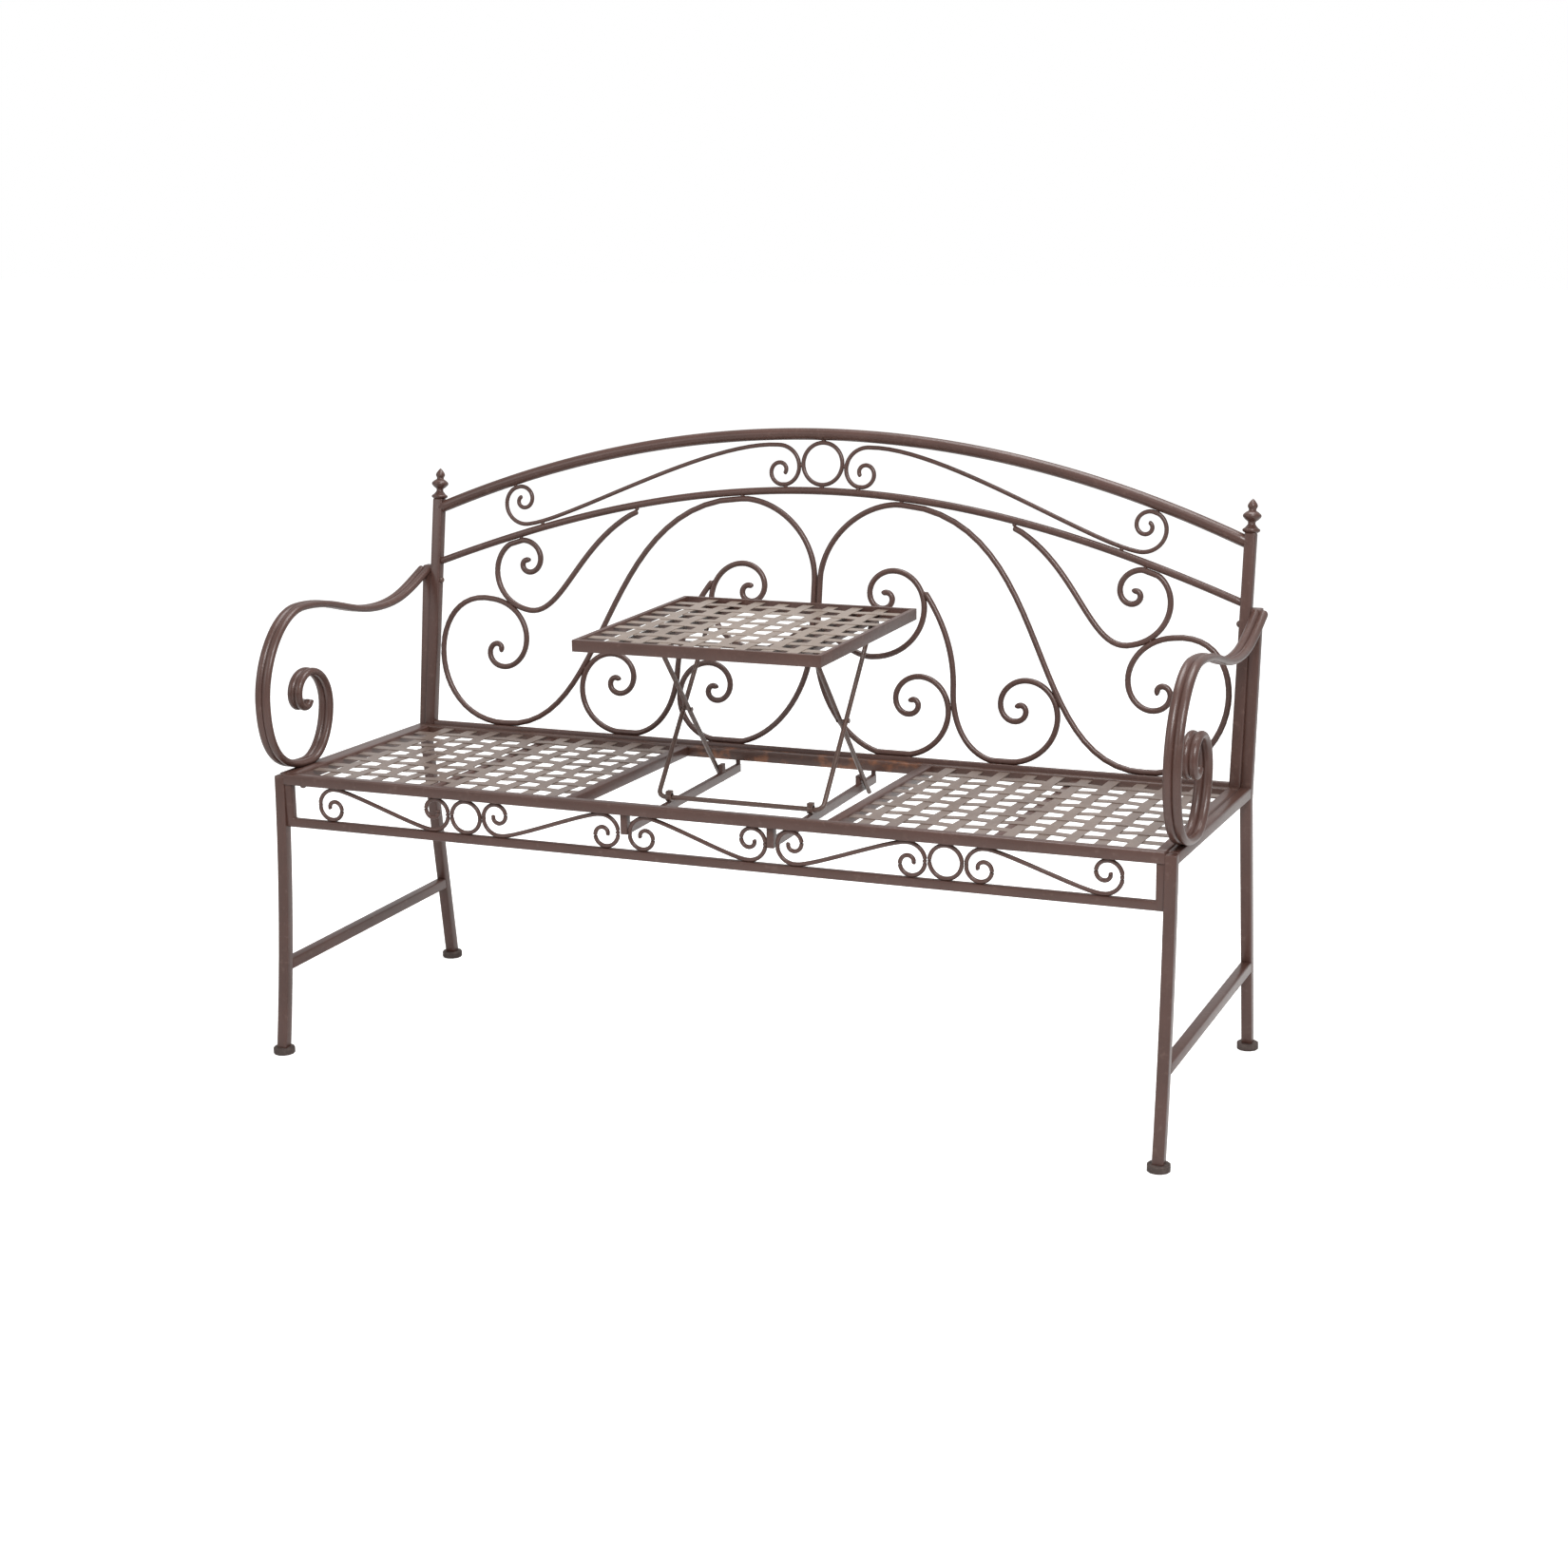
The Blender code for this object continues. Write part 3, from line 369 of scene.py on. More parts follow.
def edit_all(change, **settings):
    """Runs one change on the whole mesh of the active piece in edit mode."""
    bpy.ops.object.mode_set(mode="EDIT")
    bpy.ops.mesh.select_all(action="SELECT")
    change(**settings)
    bpy.ops.object.mode_set(mode="OBJECT")


def round_edges(piece, radius, segments=3):
    """Bevels the sharp edges of a piece and smooths its faces."""
    bevel = piece.modifiers.new("edges", "BEVEL")
    bevel.width = radius
    bevel.segments = segments
    bevel.limit_method = "ANGLE"
    bevel.angle_limit = SHARP_ANGLE
    select_only(piece)
    bpy.ops.object.modifier_apply(modifier=bevel.name)
    bpy.ops.object.shade_smooth_by_angle(angle=SMOOTH_ANGLE)


def eased(piece, name, radius):
    """Rounds the corners of a bar's copy and lets it stand for the bar."""
    round_edges(piece, radius)
    finish_piece(piece, f"{name}_eased", name)


def face_outwards(piece):
    """Merges doubled corners and turns the faces of a closed piece outwards."""
    select_only(piece)
    bpy.ops.object.mode_set(mode="EDIT")
    bpy.ops.mesh.select_all(action="SELECT")
    bpy.ops.mesh.remove_doubles(threshold=SAME_PLACE)
    bpy.ops.mesh.normals_make_consistent(inside=False)
    bpy.ops.object.mode_set(mode="OBJECT")


def drawn_curve(points, closed=False):
    """A curve of short straight stretches through points in space."""
    bpy.ops.object.select_all(action="DESELECT")
    bpy.ops.curve.primitive_bezier_curve_add()
    curve = bpy.context.object.data
    curve.splines.clear()
    spline = curve.splines.new("POLY")
    spline.use_cyclic_u = closed
    spline.points.add(len(points) - 1)
    spline.points.foreach_set("co", np.column_stack([points, np.ones(len(points))]).ravel())
    return curve


def round_bar(points, dia, closed=False):
    """A round bar along the points, with softly rounded ends."""
    points = np.array(points)
    thickness = np.ones(len(points))
    if not closed:
        points, thickness = rounded_ends(points, dia / 2)
    curve = drawn_curve(points, closed)
    curve.splines[0].points.foreach_set("radius", thickness)
    curve.twist_mode = "Z_UP"
    curve.bevel_depth = dia / 2
    curve.bevel_resolution = BAR_ROUNDNESS
    curve.use_fill_caps = True
    bpy.ops.object.convert(target="MESH")
    bpy.ops.object.shade_smooth_by_angle(angle=BAR_SMOOTH_ANGLE)
    return bpy.context.object


def rounded_ends(points, radius):
    """Adds a few narrowing points inside each end of a path, and gives the thickness at every point."""
    blunt = radius * 0.6
    shares = np.array([1, 0.7, 0.35])
    narrow = np.sqrt(1 - (shares * 0.85) ** 2)

    def cap(end, following):
        aim = (following - end) / np.linalg.norm(following - end)
        return end + aim * blunt * (1 - shares[:, None])

    start, finish = cap(points[0], points[1]), cap(points[-1], points[-2])[::-1]
    inner = [p for p in points if min(np.linalg.norm(p - points[0]), np.linalg.norm(p - points[-1])) > blunt]
    path = np.vstack([start, inner, finish])
    thickness = np.ones(len(path))
    thickness[:3], thickness[-3:] = narrow, narrow[::-1]
    return path, thickness


# Curves, drawn as in the frame but more finely
def unit(vector):
    return vector / np.linalg.norm(vector)


def curl(centre, outer, inner, start, end, fade=1.8):
    """A spiral from its outer end inwards, with angles in degrees."""
    share = np.linspace(0, 1, round(abs(end - start) / CURL_STEP) + 1)
    angle = np.radians(start + (end - start) * share)
    radius = inner + (outer - inner) * (1 - share) ** fade
    return np.array(centre) + (radius * [np.cos(angle), np.sin(angle)]).T


def link(start, start_aim, end, end_aim, reach=0.4, end_reach=None, steps=24):
    """A smooth bend between two places that leaves and arrives along the given directions."""
    start, end = np.array(start, float), np.array(end, float)
    span = np.linalg.norm(end - start)
    first = start + unit(np.array(start_aim, float)) * span * reach
    second = end - unit(np.array(end_aim, float)) * span * (end_reach or reach)
    t = np.linspace(0, 1, steps + 1)[:, None]
    return (1 - t) ** 3 * start + 3 * (1 - t) ** 2 * t * first + 3 * (1 - t) * t * t * second + t ** 3 * end


def chain(*pieces):
    """Joins stretches of path, dropping the doubled point at each joint."""
    path = [pieces[0]]
    for piece in pieces[1:]:
        path.append(piece[1:] if np.allclose(piece[0], path[-1][-1], atol=1e-6) else piece)
    return np.vstack(path)


def round_path(radius):
    """A closed ring about the origin."""
    angle = np.radians(np.arange(0, 360, CURL_STEP))
    return radius * np.column_stack([np.cos(angle), np.sin(angle)])


def round_corners(corners, radius, steps=8):
    """A path of straight stretches with an arc at each corner."""
    corners = [np.array(corner, float) for corner in corners]
    path = [corners[0]]
    for before, corner, after in zip(corners, corners[1:], corners[2:]):
        back, on = unit(before - corner), unit(after - corner)
        half = math.acos(back @ on) / 2
        centre = corner + unit(back + on) * radius / math.sin(half)
        first = corner + back * radius / math.tan(half) - centre
        turn = math.copysign(math.pi - 2 * half, back[1] * on[0] - back[0] * on[1])
        for k in range(steps + 1):
            c, s = math.cos(turn * k / steps), math.sin(turn * k / steps)
            path.append(centre + [c * first[0] - s * first[1], s * first[0] + c * first[1]])
    return np.array(path + [corners[-1]])


# Scrollwork of the back
def on_back(path):
    """Puts a path of (x, height) values on the leaning back."""
    x, rise = np.asarray(path, float).T
    lean = np.array([0, math.sin(BACK_LEAN), math.cos(BACK_LEAN)])
    return BACK_PLACE + np.outer(x, [1, 0, 0]) + np.outer(rise, lean)


def top_rail_height(x):
    return TOP_RAIL_RISE - TOP_RAIL_DROP * (x / POST_INNER) ** 2


def middle_rail_height(x):
    share = (x / POST_INNER) ** 2
    return MIDDLE_RAIL_RISE - MIDDLE_RAIL_DROP * share * (1.1 - 0.1 * share)


def beside_rail(height, rail_dia, bar_dia, x, direction):
    """Height at which a bar lies against an arched rail, above it for 1 and below it for -1."""
    slope = (height(x + GAP) - height(x - GAP)) / (2 * GAP)
    return height(x) + direction * ((rail_dia + bar_dia) / 2 + GAP) * np.sqrt(1 + slope ** 2)


def fit_in_back(path, dia, low, high):
    """Keeps a bar's centre line clear of the middle, the post and what lies under and over it."""
    x = np.clip(path[:, 0], dia / 2 + GAP / 2, POST_INNER - dia / 2 - GAP)
    return np.column_stack([x, np.minimum(np.maximum(path[:, 1], low(x)), high(x))])


def lower_scroll(*pieces):
    """A scroll between the bottom and middle rails, stretched from the sketch to the back's size."""
    return fit_in_back(
        chain(*pieces) * [POST_INNER, MIDDLE_RAIL_RISE / SKETCH_RISE],
        SCROLL_DIA,
        lambda x: SCROLL_FLOOR + 0 * x,
        lambda x: beside_rail(middle_rail_height, MIDDLE_RAIL_DIA, SCROLL_DIA, x, -1),
    )


def crest_scroll():
    """The long scroll between the middle and top rails; it starts beside the centre ring."""
    start = curl((0.1037, 0.0455), 0.0591, 0.012, 80, 585, 1.7)[::-1]
    end = curl((0.7785, -0.0505), 0.0592, 0.0101, -110, 430, 1.65)
    bend = link(start[-1], start[-1] - start[-2], end[0], end[1] - end[0], 0.26, 0.17)
    path = chain(start, bend, end) * [POST_INNER, (TOP_RAIL_RISE - MIDDLE_RAIL_RISE) / SKETCH_BAND]
    return fit_in_back(
        path + [0, MIDDLE_RAIL_RISE],
        CREST_DIA,
        lambda x: beside_rail(middle_rail_height, MIDDLE_RAIL_DIA, CREST_DIA, x, 1),
        lambda x: beside_rail(top_rail_height, TOP_RAIL_DIA, CREST_DIA, x, -1),
    )


def hook_scroll():
    """Hangs from the middle rail and rolls up under its outer end."""
    end = curl((0.7605, 0.394), 0.1118, 0.0075, -90, 500, 2.25)
    return lower_scroll(link((0.47, 0.5314), (1, -0.5), end[0], end[1] - end[0], 0.47, 0.27), end)


def arch_scroll():
    """Rolls up at the bottom, rises beside the middle, arches over and ends in the large roll."""
    start = curl((0.2498, 0.1189), 0.1182, 0.007, -90, 520, 2.1)[::-1]
    end = curl((0.8305, 0.1825), 0.1222, 0.007, 80, 600, 2.7)
    middle = SCROLL_DIA / 2 / POST_INNER
    foot, head, top, low = (middle, 0.2462), (middle, 0.3869), (0.2111, 0.5709), (0.805, 0)
    fall = (1, -0.09)
    return lower_scroll(
        start,
        link(start[-1], start[-1] - start[-2], foot, (0, 1), 0.4),
        link(foot, (0, 1), head, (0, 1), steps=2),
        link(head, (0, 1), top, fall, 0.38),
        link(top, fall, low, (1, 0), 0.445, 0.35),
        link(low, (1, 0), end[0], end[1] - end[0], 0.74, 0.62),
        end,
    )


def wave_scroll():
    """Starts beside the inner scroll and rolls up on the bottom rail."""
    end = curl((0.5065, 0.1217), 0.1199, 0.007, -90, 520, 1.95)
    side, down = (0.3471, 0.1548), (0.02, -1)
    return lower_scroll(
        link((0.267, 0.374), (0.75, -1), side, down, 0.3, 0.4),
        link(side, down, end[0], end[1] - end[0], 0.45),
        end,
    )


def inner_scroll():
    """Springs from the upright stretch of the arch and rolls up above the lower scroll."""
    end = curl((0.172, 0.3568), 0.1387, 0.0124, -100, 496, 2.5)
    arch_face = SCROLL_DIA + GAP
    path = lower_scroll(link((arch_face / POST_INNER, 0.2814), (1, -0.6), end[0], end[1] - end[0], 0.3), end)
    path[0, 0] = arch_face
    return path


# Welds of the back
def closely(path):
    """The path with points close enough together to find where it meets another."""
    run = np.concatenate([[0], np.cumsum(np.linalg.norm(np.diff(path, axis=0), axis=1))])
    along = np.linspace(0, run[-1], round(run[-1] / WELD_SEARCH_STEP) + 2)
    return np.column_stack([np.interp(along, run, path[:, 0]), np.interp(along, run, path[:, 1])])


def meetings(first, first_dia, second, second_dia):
    """Places where two bars touch, one for each stretch in which they lie together."""
    apart = np.linalg.norm(first[:, None] - second[None], axis=2)
    nearest = apart.min(axis=1)
    close = nearest < (first_dia + second_dia) / 2 + WELD_REACH
    places = []
    for run in np.split(np.arange(len(first)), np.flatnonzero(np.diff(close)) + 1):
        if close[run[0]]:
            i = run[nearest[run].argmin()]
            k = apart[i].argmin()
            places.append(first[i] + (second[k] - first[i]) * first_dia / (first_dia + second_dia))
    return places


def weld_bead(place):
    """A small uneven drop of weld metal."""
    bpy.ops.object.select_all(action="DESELECT")
    bpy.ops.mesh.primitive_ico_sphere_add(subdivisions=2, radius=WELD_DIA / 2)
    bpy.ops.object.mode_set(mode="EDIT")
    bpy.ops.transform.vertex_random(offset=WELD_UNEVENNESS * WELD_DIA, seed=len(bpy.data.meshes))
    bpy.ops.mesh.vertices_smooth(repeat=2)
    bpy.ops.object.mode_set(mode="OBJECT")
    bead = bpy.context.object
    bead.location = place
    bpy.ops.object.transform_apply()
    bpy.ops.object.shade_smooth()
    return bead


def weld_back(bars):
    """Puts a bead on both halves of the back wherever two of the bars of one half meet."""
    bars = [(closely(path), dia) for path, dia in bars]
    places = []
    for k, (first, first_dia) in enumerate(bars):
        for second, second_dia in bars[k + 1:]:
            places += meetings(first, first_dia, second, second_dia)
    beads = [weld_bead(place) for _, side in SIDES for place in on_back(places * np.array([side, 1]))]
    select_only(*beads)
    bpy.ops.object.join()
    fit_detail(beads[0], "back_weld_beads", "middle_rail")


def dress_back():
    rail_end = POST_INNER + TUBE / 2
    rail_x = np.linspace(-rail_end, rail_end, RAIL_POINTS)
    for name, height, dia in (
        ("top_rail", top_rail_height, TOP_RAIL_DIA),
        ("middle_rail", middle_rail_height, MIDDLE_RAIL_DIA),
    ):
        finish_piece(round_bar(on_back(np.column_stack([rail_x, height(rail_x)])), dia), f"{name}_bar", name)
    low = MIDDLE_RAIL_RISE + MIDDLE_RAIL_DIA / 2 + GAP
    high = TOP_RAIL_RISE - TOP_RAIL_DIA / 2 - GAP
    ring = round_path((high - low - CREST_DIA) / 2) + [0, (low + high) / 2]
    finish_piece(round_bar(on_back(ring), CREST_DIA, closed=True), "centre_ring_bar", "centre_ring")
    scrolls = (
        ("crest", crest_scroll(), CREST_DIA),
        ("hook", hook_scroll(), SCROLL_DIA),
        ("arch", arch_scroll(), SCROLL_DIA),
        ("wave", wave_scroll(), SCROLL_DIA),
        ("inner", inner_scroll(), SCROLL_DIA),
    )
    for kind, path, dia in scrolls:
        for side_name, side in SIDES:
            name = f"{side_name}_{kind}_scroll"
            finish_piece(round_bar(on_back(path * [side, 1]), dia), f"{name}_bar", name)
    half_x = np.array([GAP, POST_INNER])
    rail_half = np.linspace(*half_x, RAIL_POINTS)
    weld_back([(path, dia) for _, path, dia in scrolls] + [
        (ring, CREST_DIA),
        (np.column_stack([rail_half, top_rail_height(rail_half)]), TOP_RAIL_DIA),
        (np.column_stack([rail_half, middle_rail_height(rail_half)]), MIDDLE_RAIL_DIA),
        (np.column_stack([half_x, [BOTTOM_RAIL_RISE] * 2]), SLIM_BAR),
        (np.array([(POST_INNER + TUBE / 2, 0), (POST_INNER + TUBE / 2, BACK_POST_RISE)]), TUBE),
    ])


def turned_finial():
    """A knob on the origin: its outline, a smooth curve, is spun round the upright axis."""
    bpy.ops.object.select_all(action="DESELECT")
    bpy.ops.curve.primitive_bezier_curve_add()
    knob = bpy.context.object
    outline = knob.data.splines[0].bezier_points
    shares = [
        (0, 0), (0.66, 0), (0.97, 0.08), (0.66, 0.17), (0.4, 0.3), (0.74, 0.39), (1, 0.5),
        (0.7, 0.6), (0.41, 0.66), (0.55, 0.78), (0.28, 0.92), (0, 1),
    ]
    outline.add(len(shares) - len(outline))
    for point, (across, up) in zip(outline, shares):
        point.co = (across * FINIAL_DIA / 2, 0, up * FINIAL_HEIGHT)
        point.handle_left_type = point.handle_right_type = "AUTO" if up else "VECTOR"
    knob.data.resolution_u = 4
    bpy.ops.object.convert(target="MESH")
    spin = knob.modifiers.new("spin", "SCREW")
    spin.steps = spin.render_steps = FINIAL_STEPS
    spin.use_merge_vertices = True
    spin.merge_threshold = SAME_PLACE
    bpy.ops.object.modifier_apply(modifier=spin.name)
    face_outwards(knob)
    bpy.ops.object.shade_smooth_by_angle(angle=TURNED_SMOOTH_ANGLE)
    return knob


def dress_finials():
    model = turned_finial()
    for side_name, side in SIDES:
        place = on_back([(side * (POST_INNER + TUBE / 2), BACK_POST_RISE + GAP)])[0]
        knob = placed_copy(model, place, (-BACK_LEAN, 0, 0))
        finish_piece(knob, f"{side_name}_finial_knob", f"{side_name}_finial")
    bpy.data.objects.remove(model)


# Armrests
def arm_path():
    """Centre line of an armrest, from a little way into the rear post to the scroll on the seat rail."""
    rise = unit(np.array(ARM_END_AIM))
    scroll = curl(ARM_CURL_CENTRE, ARM_CURL_OUTER, ARM_CURL_INNER, -26, 335)
    return chain(
        [ARM_END + rise * ARM_THICK],
        link(ARM_END, -rise, ARM_DIP, (-1, 0)),
        link(ARM_DIP, (-1, 0), ARM_CREST, (-1, 0)),
        link(ARM_CREST, (-1, 0), ARM_FRONT, (0, -1), 0.36),
        link(ARM_FRONT, (0, -1), ARM_LOW, (1, 0), 0.48),
        link(ARM_LOW, (1, 0), scroll[0], scroll[1] - scroll[0], 0.36),
        scroll,
    )


def arm_section():
    """Outline of two rounded ridges side by side, with a groove between them on both faces."""
    overlap = math.sqrt(1 - (1 - 2 * ARM_GROOVE / ARM_THICK) ** 2)
    ridge = ARM_WIDTH / 2 / (1 + overlap)
    angle = np.linspace(-1, 1, 17)[:-1] * math.acos(-overlap)
    half = np.column_stack([ARM_THICK / 2 * np.sin(angle), ridge * (overlap + np.cos(angle))])
    return np.vstack([half, -half])


def armrest():
    """An armrest on the plane x = 0, with its rear end cut along the front face of its post."""
    outline = arm_section()
    section = drawn_curve(np.column_stack([outline, np.zeros(len(outline))]), closed=True)
    section_object = bpy.context.object
    section.dimensions = "2D"
    path = arm_path()
    curve = drawn_curve(np.column_stack([path, np.zeros(len(path))]))
    arm = bpy.context.object
    curve.dimensions = "2D"
    curve.fill_mode = "NONE"
    curve.bevel_mode = "OBJECT"
    curve.bevel_object = section_object
    curve.use_fill_caps = True
    bpy.ops.object.convert(target="MESH")
    bpy.data.objects.remove(section_object)
    arm.rotation_euler = (math.pi / 2, 0, math.pi / 2)
    bpy.ops.object.transform_apply()
    edit_all(
        bpy.ops.mesh.bisect, plane_co=(0, *ARM_END), plane_no=(0, POST_AIM[1], -POST_AIM[0]),
        clear_outer=True, use_fill=True,
    )
    face_outwards(arm)
    bpy.ops.object.shade_smooth_by_angle(angle=SMOOTH_ANGLE)
    return arm


def dress_armrests():
    model = armrest()
    for side_name, side in SIDES:
        arm = placed_copy(model, (side * ARM_X, 0, 0))
        finish_piece(arm, f"{side_name}_armrest_bar", f"{side_name}_armrest")
    bpy.data.objects.remove(model)


# Apron
def apron_scroll(length):
    """Centre line of a lying S scroll about its own middle, alike at both ends."""
    reach, rise = (length - APRON_DIA) / 2, (APRON_TOP - APRON_FLOOR - APRON_DIA) / 2
    roll = curl((0.96 * rise - reach, -0.21 * rise), 1.24 * rise, 0.26 * rise, 78, 560, 1.3)
    aim = roll[0] - roll[1]
    half = chain(roll[::-1], link(roll[0], aim, -roll[0], aim, 0.15))
    return np.clip(np.vstack([half, -roll[1:]]), (-reach, -rise), (reach, rise))


def on_apron(path):
    """Puts a path of (x, height) values in the plane of the apron."""
    x, height = path.T
    return np.column_stack([x, np.full(len(x), APRON_Y), height])


def dress_apron():
    height = APRON_TOP - APRON_FLOOR
    middle = (APRON_TOP + APRON_FLOOR) / 2
    inner_x = STRAP_INNER_X + STRAP_WIDTH + APRON_SCROLL_SPACE + APRON_SCROLL_LENGTH / 2
    ring_x = inner_x + (APRON_SCROLL_LENGTH + height) / 2 + GAP
    outer_x = ring_x + (APRON_SCROLL_LENGTH + height) / 2 + GAP
    for k, x in enumerate((-outer_x, -inner_x, 0, inner_x, outer_x)):
        path = apron_scroll(APRON_SCROLL_LENGTH if x else 2 * (STRAP_INNER_X - GAP))
        bar = round_bar(on_apron(path * [(-1) ** k, 1] + [x, middle]), APRON_DIA)
        finish_piece(bar, f"apron_scroll_{k + 1}_bar", f"apron_scroll_{k + 1}")
    model = round_bar(on_apron(round_path((height - APRON_DIA) / 2) + [0, middle]), APRON_DIA, closed=True)
    for side_name, side in SIDES:
        ring = placed_copy(model, (side * ring_x, 0, 0))
        finish_piece(ring, f"{side_name}_apron_ring_bar", f"{side_name}_apron_ring")
    bpy.data.objects.remove(model)


# Bolts
def dome_bolt():
    """A round bolt head on the origin: the upper half of a flattened ball, flat side down."""
    bpy.ops.object.select_all(action="DESELECT")
    bpy.ops.mesh.primitive_uv_sphere_add(segments=24, ring_count=12, radius=BOLT_DIA / 2)
    head = bpy.context.object
    edit_all(bpy.ops.transform.resize, value=(1, 1, 2 * BOLT_HEIGHT / BOLT_DIA))
    edit_all(
        bpy.ops.mesh.bisect, plane_co=(0, 0, 0.01 * BOLT_HEIGHT), plane_no=(0, 0, -1),
        clear_outer=True, use_fill=True,
    )
    bpy.ops.object.shade_smooth_by_angle(angle=TURNED_SMOOTH_ANGLE)
    return head


def dress_bolts():
    """Cap nuts on the back posts, and the bolt under the left end of the seat's front rail."""
    model = dome_bolt()

    def head(place, aim):
        return placed_copy(model, place, Vector(aim).to_track_quat("Z", "Y").to_euler())

    for side_name, side in SIDES:
        nut = f"{side_name}_back_bolt"
        place = on_back([(side * (POST_INNER - TUBE_EXTRA), BOLT_RISE)])[0]
        finish_piece(head(place, (-side, 0, 0)), f"{nut}_head", nut)
    rail_bolt = head((-RAIL_BOLT_X, APRON_Y, APRON_TOP + GAP), (0, 0, -1))
    fit_detail(rail_bolt, "left_rail_bolt", "left_back_bolt")
    bpy.data.objects.remove(model)


# Scissor legs
def bent_rod(half_width, start, end, place, aim):
    """A U of round rod: its cross part lies at start along the aim and its ends at end."""
    corners = [(-half_width, end), (-half_width, start), (half_width, start), (half_width, end)]
    flat = round_corners(corners, ROD_BEND)
    return place + np.outer(flat[:, 0], [1, 0, 0]) + np.outer(flat[:, 1], aim)


def collar():
    """A turned collar about the origin, with its axis along X."""
    bpy.ops.object.select_all(action="DESELECT")
    bpy.ops.mesh.primitive_cylinder_add(
        vertices=32, radius=COLLAR_DIA / 2, depth=COLLAR_LENGTH, rotation=(0, math.pi / 2, 0),
    )
    ring = bpy.context.object
    bpy.ops.object.transform_apply()
    round_edges(ring, FITTING_CORNER, 2)
    return ring


def keeper():
    """An upright block that stands on the origin, the middle of a collar."""
    bpy.ops.object.select_all(action="DESELECT")
    bpy.ops.mesh.primitive_cube_add(
        size=1, location=(0, 0, KEEPER_RISE / 2), scale=(COLLAR_LENGTH, KEEPER_DEPTH, KEEPER_RISE),
    )
    block = bpy.context.object
    bpy.ops.object.transform_apply()
    round_edges(block, FITTING_CORNER, 2)
    return block


def dress_scissor():
    """Two bent rods that cross; both carry collars, and the front one's have upright blocks."""
    length = ROD_LOWER + ROD_UPPER
    fold = math.asin(TABLE_RISE / length)
    front_aim = np.array([0, math.cos(fold), math.sin(fold)])
    rear_aim = front_aim * [0, -1, 1]
    pivot = HINGE + rear_aim * ROD_LOWER
    ring, block = collar(), keeper()
    for name, width, collar_x, models, start, end, place, aim in (
        (
            "front_legs", FRONT_ROD_X, LOWER_COLLAR_X, (ring, block),
            -ROD_LOWER, ROD_UPPER + ROD_PAST_EAR, pivot, front_aim,
        ),
        ("rear_legs", REAR_ROD_X, UPPER_COLLAR_X, (ring,), length, -ROD_PAST_PIN, HINGE, rear_aim),
    ):
        rod = round_bar(bent_rod(width, start, end, place, aim), ROD_DIA)
        cross = place + aim * start
        fittings = [
            placed_copy(model, cross + [side * collar_x, 0, 0]) for model in models for _, side in SIDES
        ]
        select_only(rod, *fittings)
        bpy.ops.object.join()
        finish_piece(rod, f"{name}_rod", name)
    bpy.data.objects.remove(ring)
    bpy.data.objects.remove(block)


# Tubes and feet
def dress_bars():
    """Tubes with rounded corners, a little stouter than in the frame, the table's supports and the feet."""
    tubes = ["seat_front_rail", "seat_back_rail", "apron_frame", "bottom_rail"]
    for side_name, _ in SIDES:
        tubes += [
            f"{side_name}_{kind}"
            for kind in (
                "front_leg", "rear_post", "stretcher", "seat_side_rail", "back_post",
                "panel_outer_rail", "panel_inner_rail", "panel_brace",
            )
        ]
    for name in tubes:
        tube = merged_copy(name)
        edit_all(bpy.ops.transform.shrink_fatten, value=TUBE_EXTRA, use_even_offset=True)
        eased(tube, name, TUBE_CORNER)
    for side_name, _ in SIDES:
        support = f"{side_name}_table_support"
        eased(merged_copy(support), support, SLIM_CORNER)
        for end in ("front", "rear"):
            name = f"{side_name}_{end}_foot"
            foot = merged_copy(name)
            middle = np.mean(foot.bound_box, axis=0) * [1, 1, 0]
            edit_all(bpy.ops.transform.resize, value=[FOOT_GROWTH] * 3, center_override=middle)
            eased(foot, name, FOOT_CORNER)


# Table frame and woven panels
def dress_table_frame():
    """The table's frame, with each broad runner slotted into a track for the collar and a bar for the ear."""
    table = merged_copy("table_frame")
    low, high = np.min(table.bound_box, axis=0), np.max(table.bound_box, axis=0)
    inner = UPPER_COLLAR_X + COLLAR_LENGTH / 2 + TRACK_EDGE
    outer = FRONT_ROD_X + ROD_DIA / 2
    under = HINGE[2] + TABLE_RISE + COLLAR_DIA / 2
    middle = [(inner + outer) / 2, (low[1] + high[1]) / 2, (under + high[2]) / 2]
    size = [outer - inner, high[1] - low[1] - 2 * RUNNER_END, high[2] - under]
    for _, side in SIDES:
        bpy.ops.object.select_all(action="DESELECT")
        bpy.ops.mesh.primitive_cube_add(size=1, location=middle * np.array([side, 1, 1]), scale=size)
        slot = bpy.context.object
        cut = table.modifiers.new("slot", "BOOLEAN")
        cut.operation = "DIFFERENCE"
        cut.object = slot
        select_only(table)
        bpy.ops.object.modifier_apply(modifier=cut.name)
        bpy.data.objects.remove(slot)
    eased(table, "table_frame", SLIM_CORNER)


def dress_weave():
    """Woven panels of thin strips that lie nearly flat; those of the seat fall to the back."""
    for name, fall, flatness in (
        ("left_panel_weave", SEAT_FALL, SEAT_FLATNESS),
        ("right_panel_weave", SEAT_FALL, SEAT_FLATNESS),
        ("table_weave", 0, TABLE_FLATNESS),
    ):
        panel = merged_copy(name)
        panel.rotation_euler.x = fall
        bpy.ops.object.transform_apply()
        edit_all(bpy.ops.transform.resize, value=(1, 1, flatness))
        panel.rotation_euler.x = -fall
        bpy.ops.object.transform_apply()
        bpy.ops.object.shade_smooth_by_angle(angle=SMOOTH_ANGLE)
        finish_piece(panel, f"{name}_strips", name)


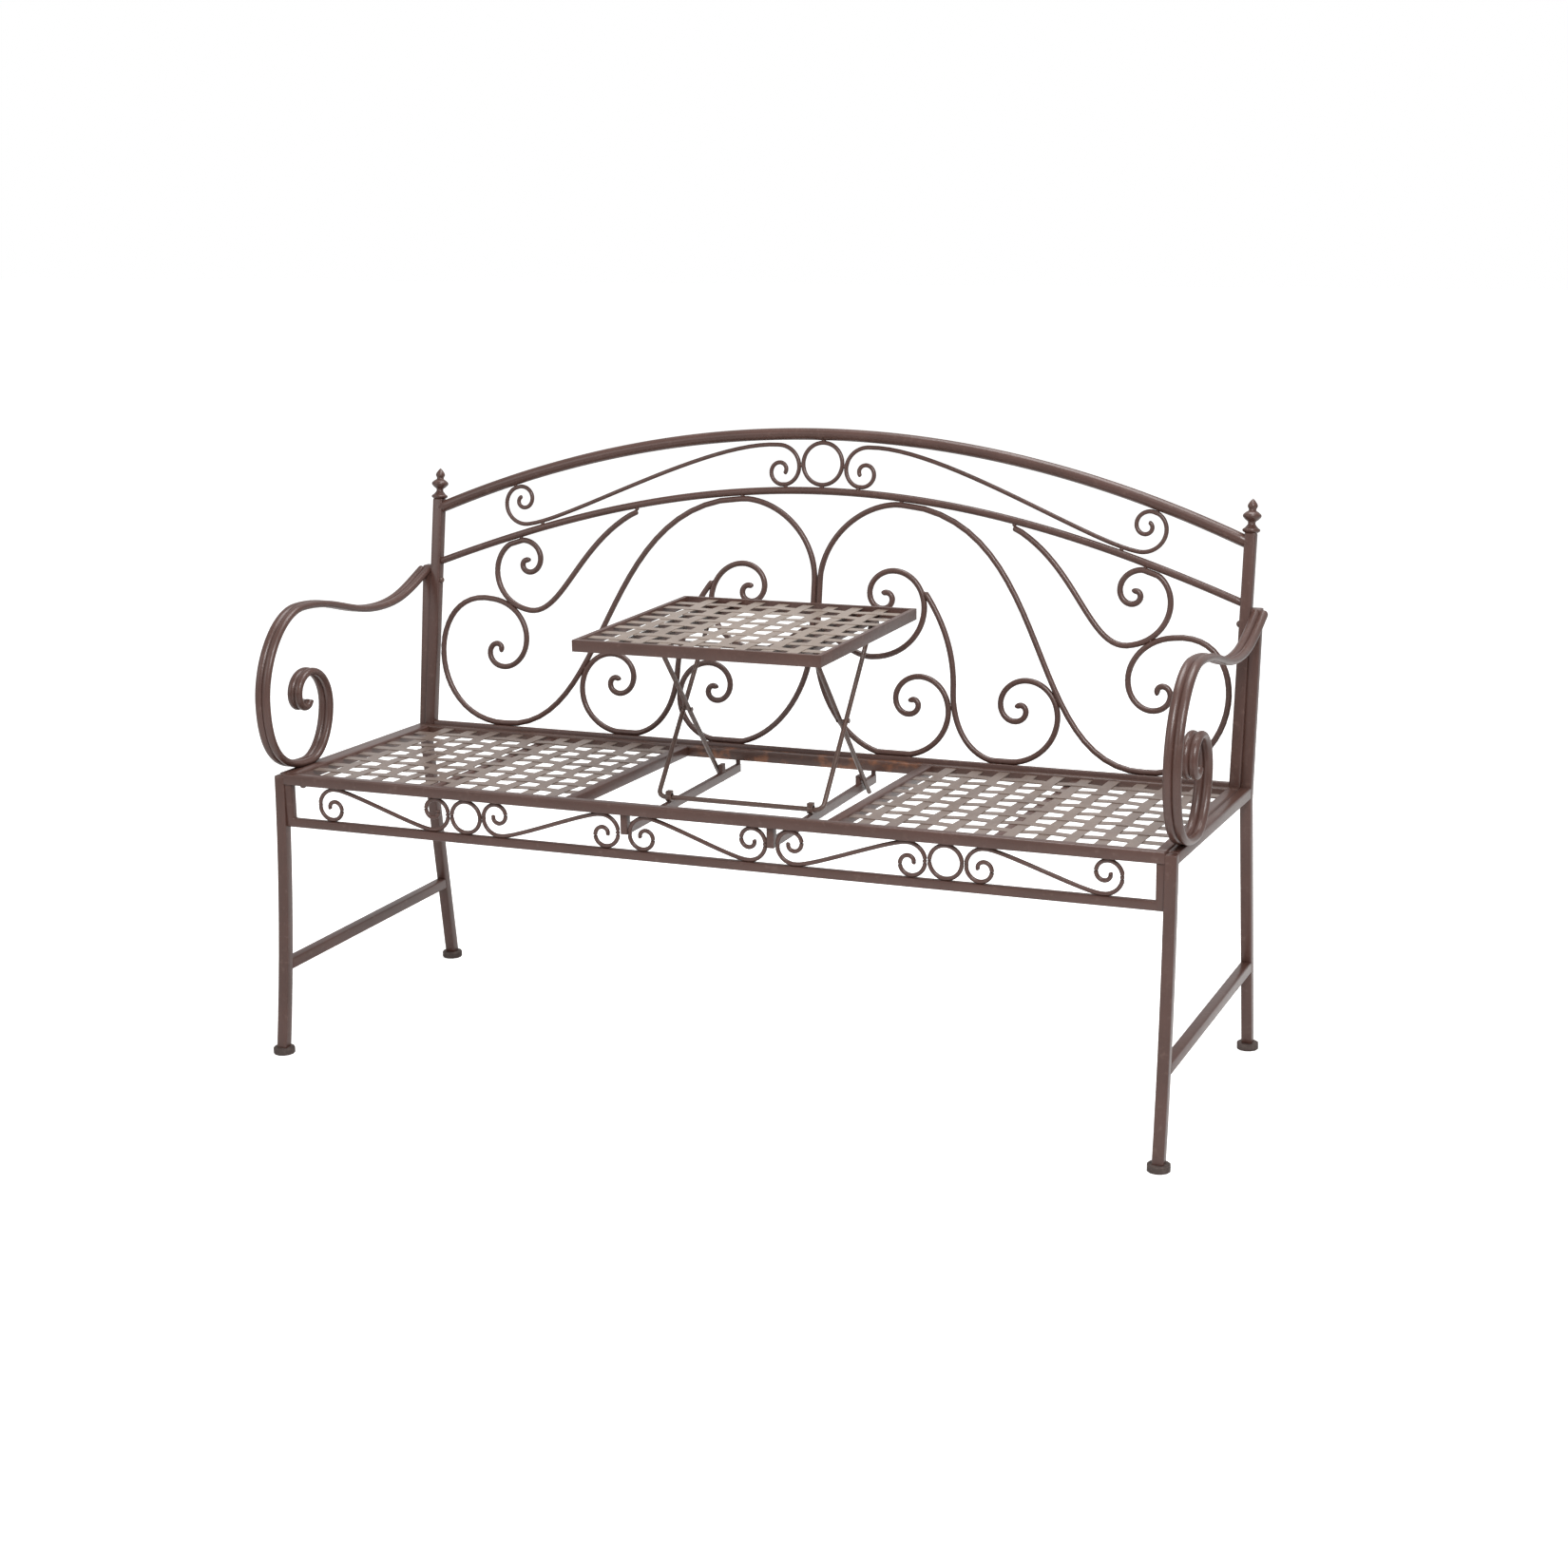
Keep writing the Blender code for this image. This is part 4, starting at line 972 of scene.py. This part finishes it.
def paint_frame():
    """Paints what is left of the frame, the rail whose primer shows and the table top, whose strips carry a
    paler painted reflection.
    """
    for name, obj in nodes.items():
        obj.data.materials.clear()
        obj.data.materials.append(FINISHES[slots[name]])
    bpy.data.objects["seat_back_rail_eased"].data.materials[0] = WORN_ENAMEL
    # The table's strips get the enamel with the painted reflection of the light above
    bpy.data.objects["table_weave_strips"].data.materials[0] = TABLE_REFLECTION_ENAMEL


# Studio
def place_camera():
    yaw, pitch, roll = CAMERA_YAW, CAMERA_PITCH, CAMERA_ROLL
    ahead = Vector((-math.sin(yaw) * math.cos(pitch), math.cos(yaw) * math.cos(pitch), -math.sin(pitch)))
    level = Vector((math.cos(yaw), math.sin(yaw), 0))
    lift = level.cross(ahead)
    right = level * math.cos(roll) + lift * math.sin(roll)
    up = lift * math.cos(roll) - level * math.sin(roll)
    data = bpy.data.cameras.new("photo_camera")
    data.sensor_width = CAMERA_SENSOR
    data.lens = CAMERA_LENS
    camera = bpy.data.objects.new("photo_camera", data)
    turn = Matrix((right, up, -ahead)).transposed()
    camera.matrix_world = Matrix.Translation(CAMERA_PLACE) @ turn.to_4x4()
    bpy.context.scene.collection.objects.link(camera)
    bpy.context.scene.camera = camera


def soft_lamp(name, place, size, power):
    """A square lamp that looks at the seat."""
    data = bpy.data.lights.new(name, "AREA")
    data.size = size
    data.energy = power
    lamp = bpy.data.objects.new(name, data)
    lamp.location = place
    lamp.rotation_euler = (LAMP_TARGET - Vector(place)).to_track_quat("-Z", "Y").to_euler()
    bpy.context.scene.collection.objects.link(lamp)


def white_paper(name):
    """Matt white backdrop paper: white to the camera and in reflections, and it keeps the shadow."""
    material, tree = new_material(name)
    paths = node(tree, "ShaderNodeLightPath")
    seen = node(tree, "ShaderNodeMapRange", {"To Max": PAPER_GLOW}, Value=paths.outputs["Is Camera Ray"])
    shine = node(tree, "ShaderNodeMapRange", {"To Max": PAPER_SHINE}, Value=paths.outputs["Is Glossy Ray"])
    glow = node(tree, "ShaderNodeMath", {"operation": "MAXIMUM"}, Value=seen.outputs["Result"])
    tree.links.new(shine.outputs["Result"], glow.inputs[1])
    shader = node(
        tree, "ShaderNodeBsdfPrincipled",
        {"Base Color": linear("#f0f0ef"), "Roughness": 0.9, "Emission Color": (1, 1, 1, 1)},
    )
    tree.links.new(glow.outputs["Value"], shader.inputs["Emission Strength"])
    node(tree, "ShaderNodeOutputMaterial", Surface=shader.outputs["BSDF"])
    return material


def build_studio():
    bpy.ops.object.select_all(action="DESELECT")
    bpy.ops.mesh.primitive_plane_add(size=PAPER_SIZE)
    floor = bpy.context.object
    floor.name = "floor"
    floor.data.materials.append(white_paper("backdrop_paper"))
    world = bpy.data.worlds.new("studio")
    world.use_nodes = True
    tree = world.node_tree
    tree.nodes.clear()
    paths = node(tree, "ShaderNodeLightPath")
    shine = node(
        tree, "ShaderNodeMapRange", {"To Min": SKY_LIGHT, "To Max": SKY_SHINE},
        Value=paths.outputs["Is Glossy Ray"],
    )
    strength = node(tree, "ShaderNodeMath", {"operation": "MAXIMUM"}, Value=shine.outputs["Result"])
    tree.links.new(paths.outputs["Is Camera Ray"], strength.inputs[1])
    sky = node(tree, "ShaderNodeBackground", {"Color": (1, 1, 1, 1)}, Strength=strength.outputs["Value"])
    node(tree, "ShaderNodeOutputWorld", Surface=sky.outputs["Background"])
    bpy.context.scene.world = world
    for name, place, size, power in LAMPS:
        soft_lamp(name, place, size, power)


dress_back()
dress_finials()
dress_armrests()
dress_apron()
dress_bolts()
dress_scissor()
dress_bars()
dress_table_frame()
dress_weave()
paint_frame()
place_camera()
build_studio()
bpy.context.scene.view_settings.view_transform = "Standard"
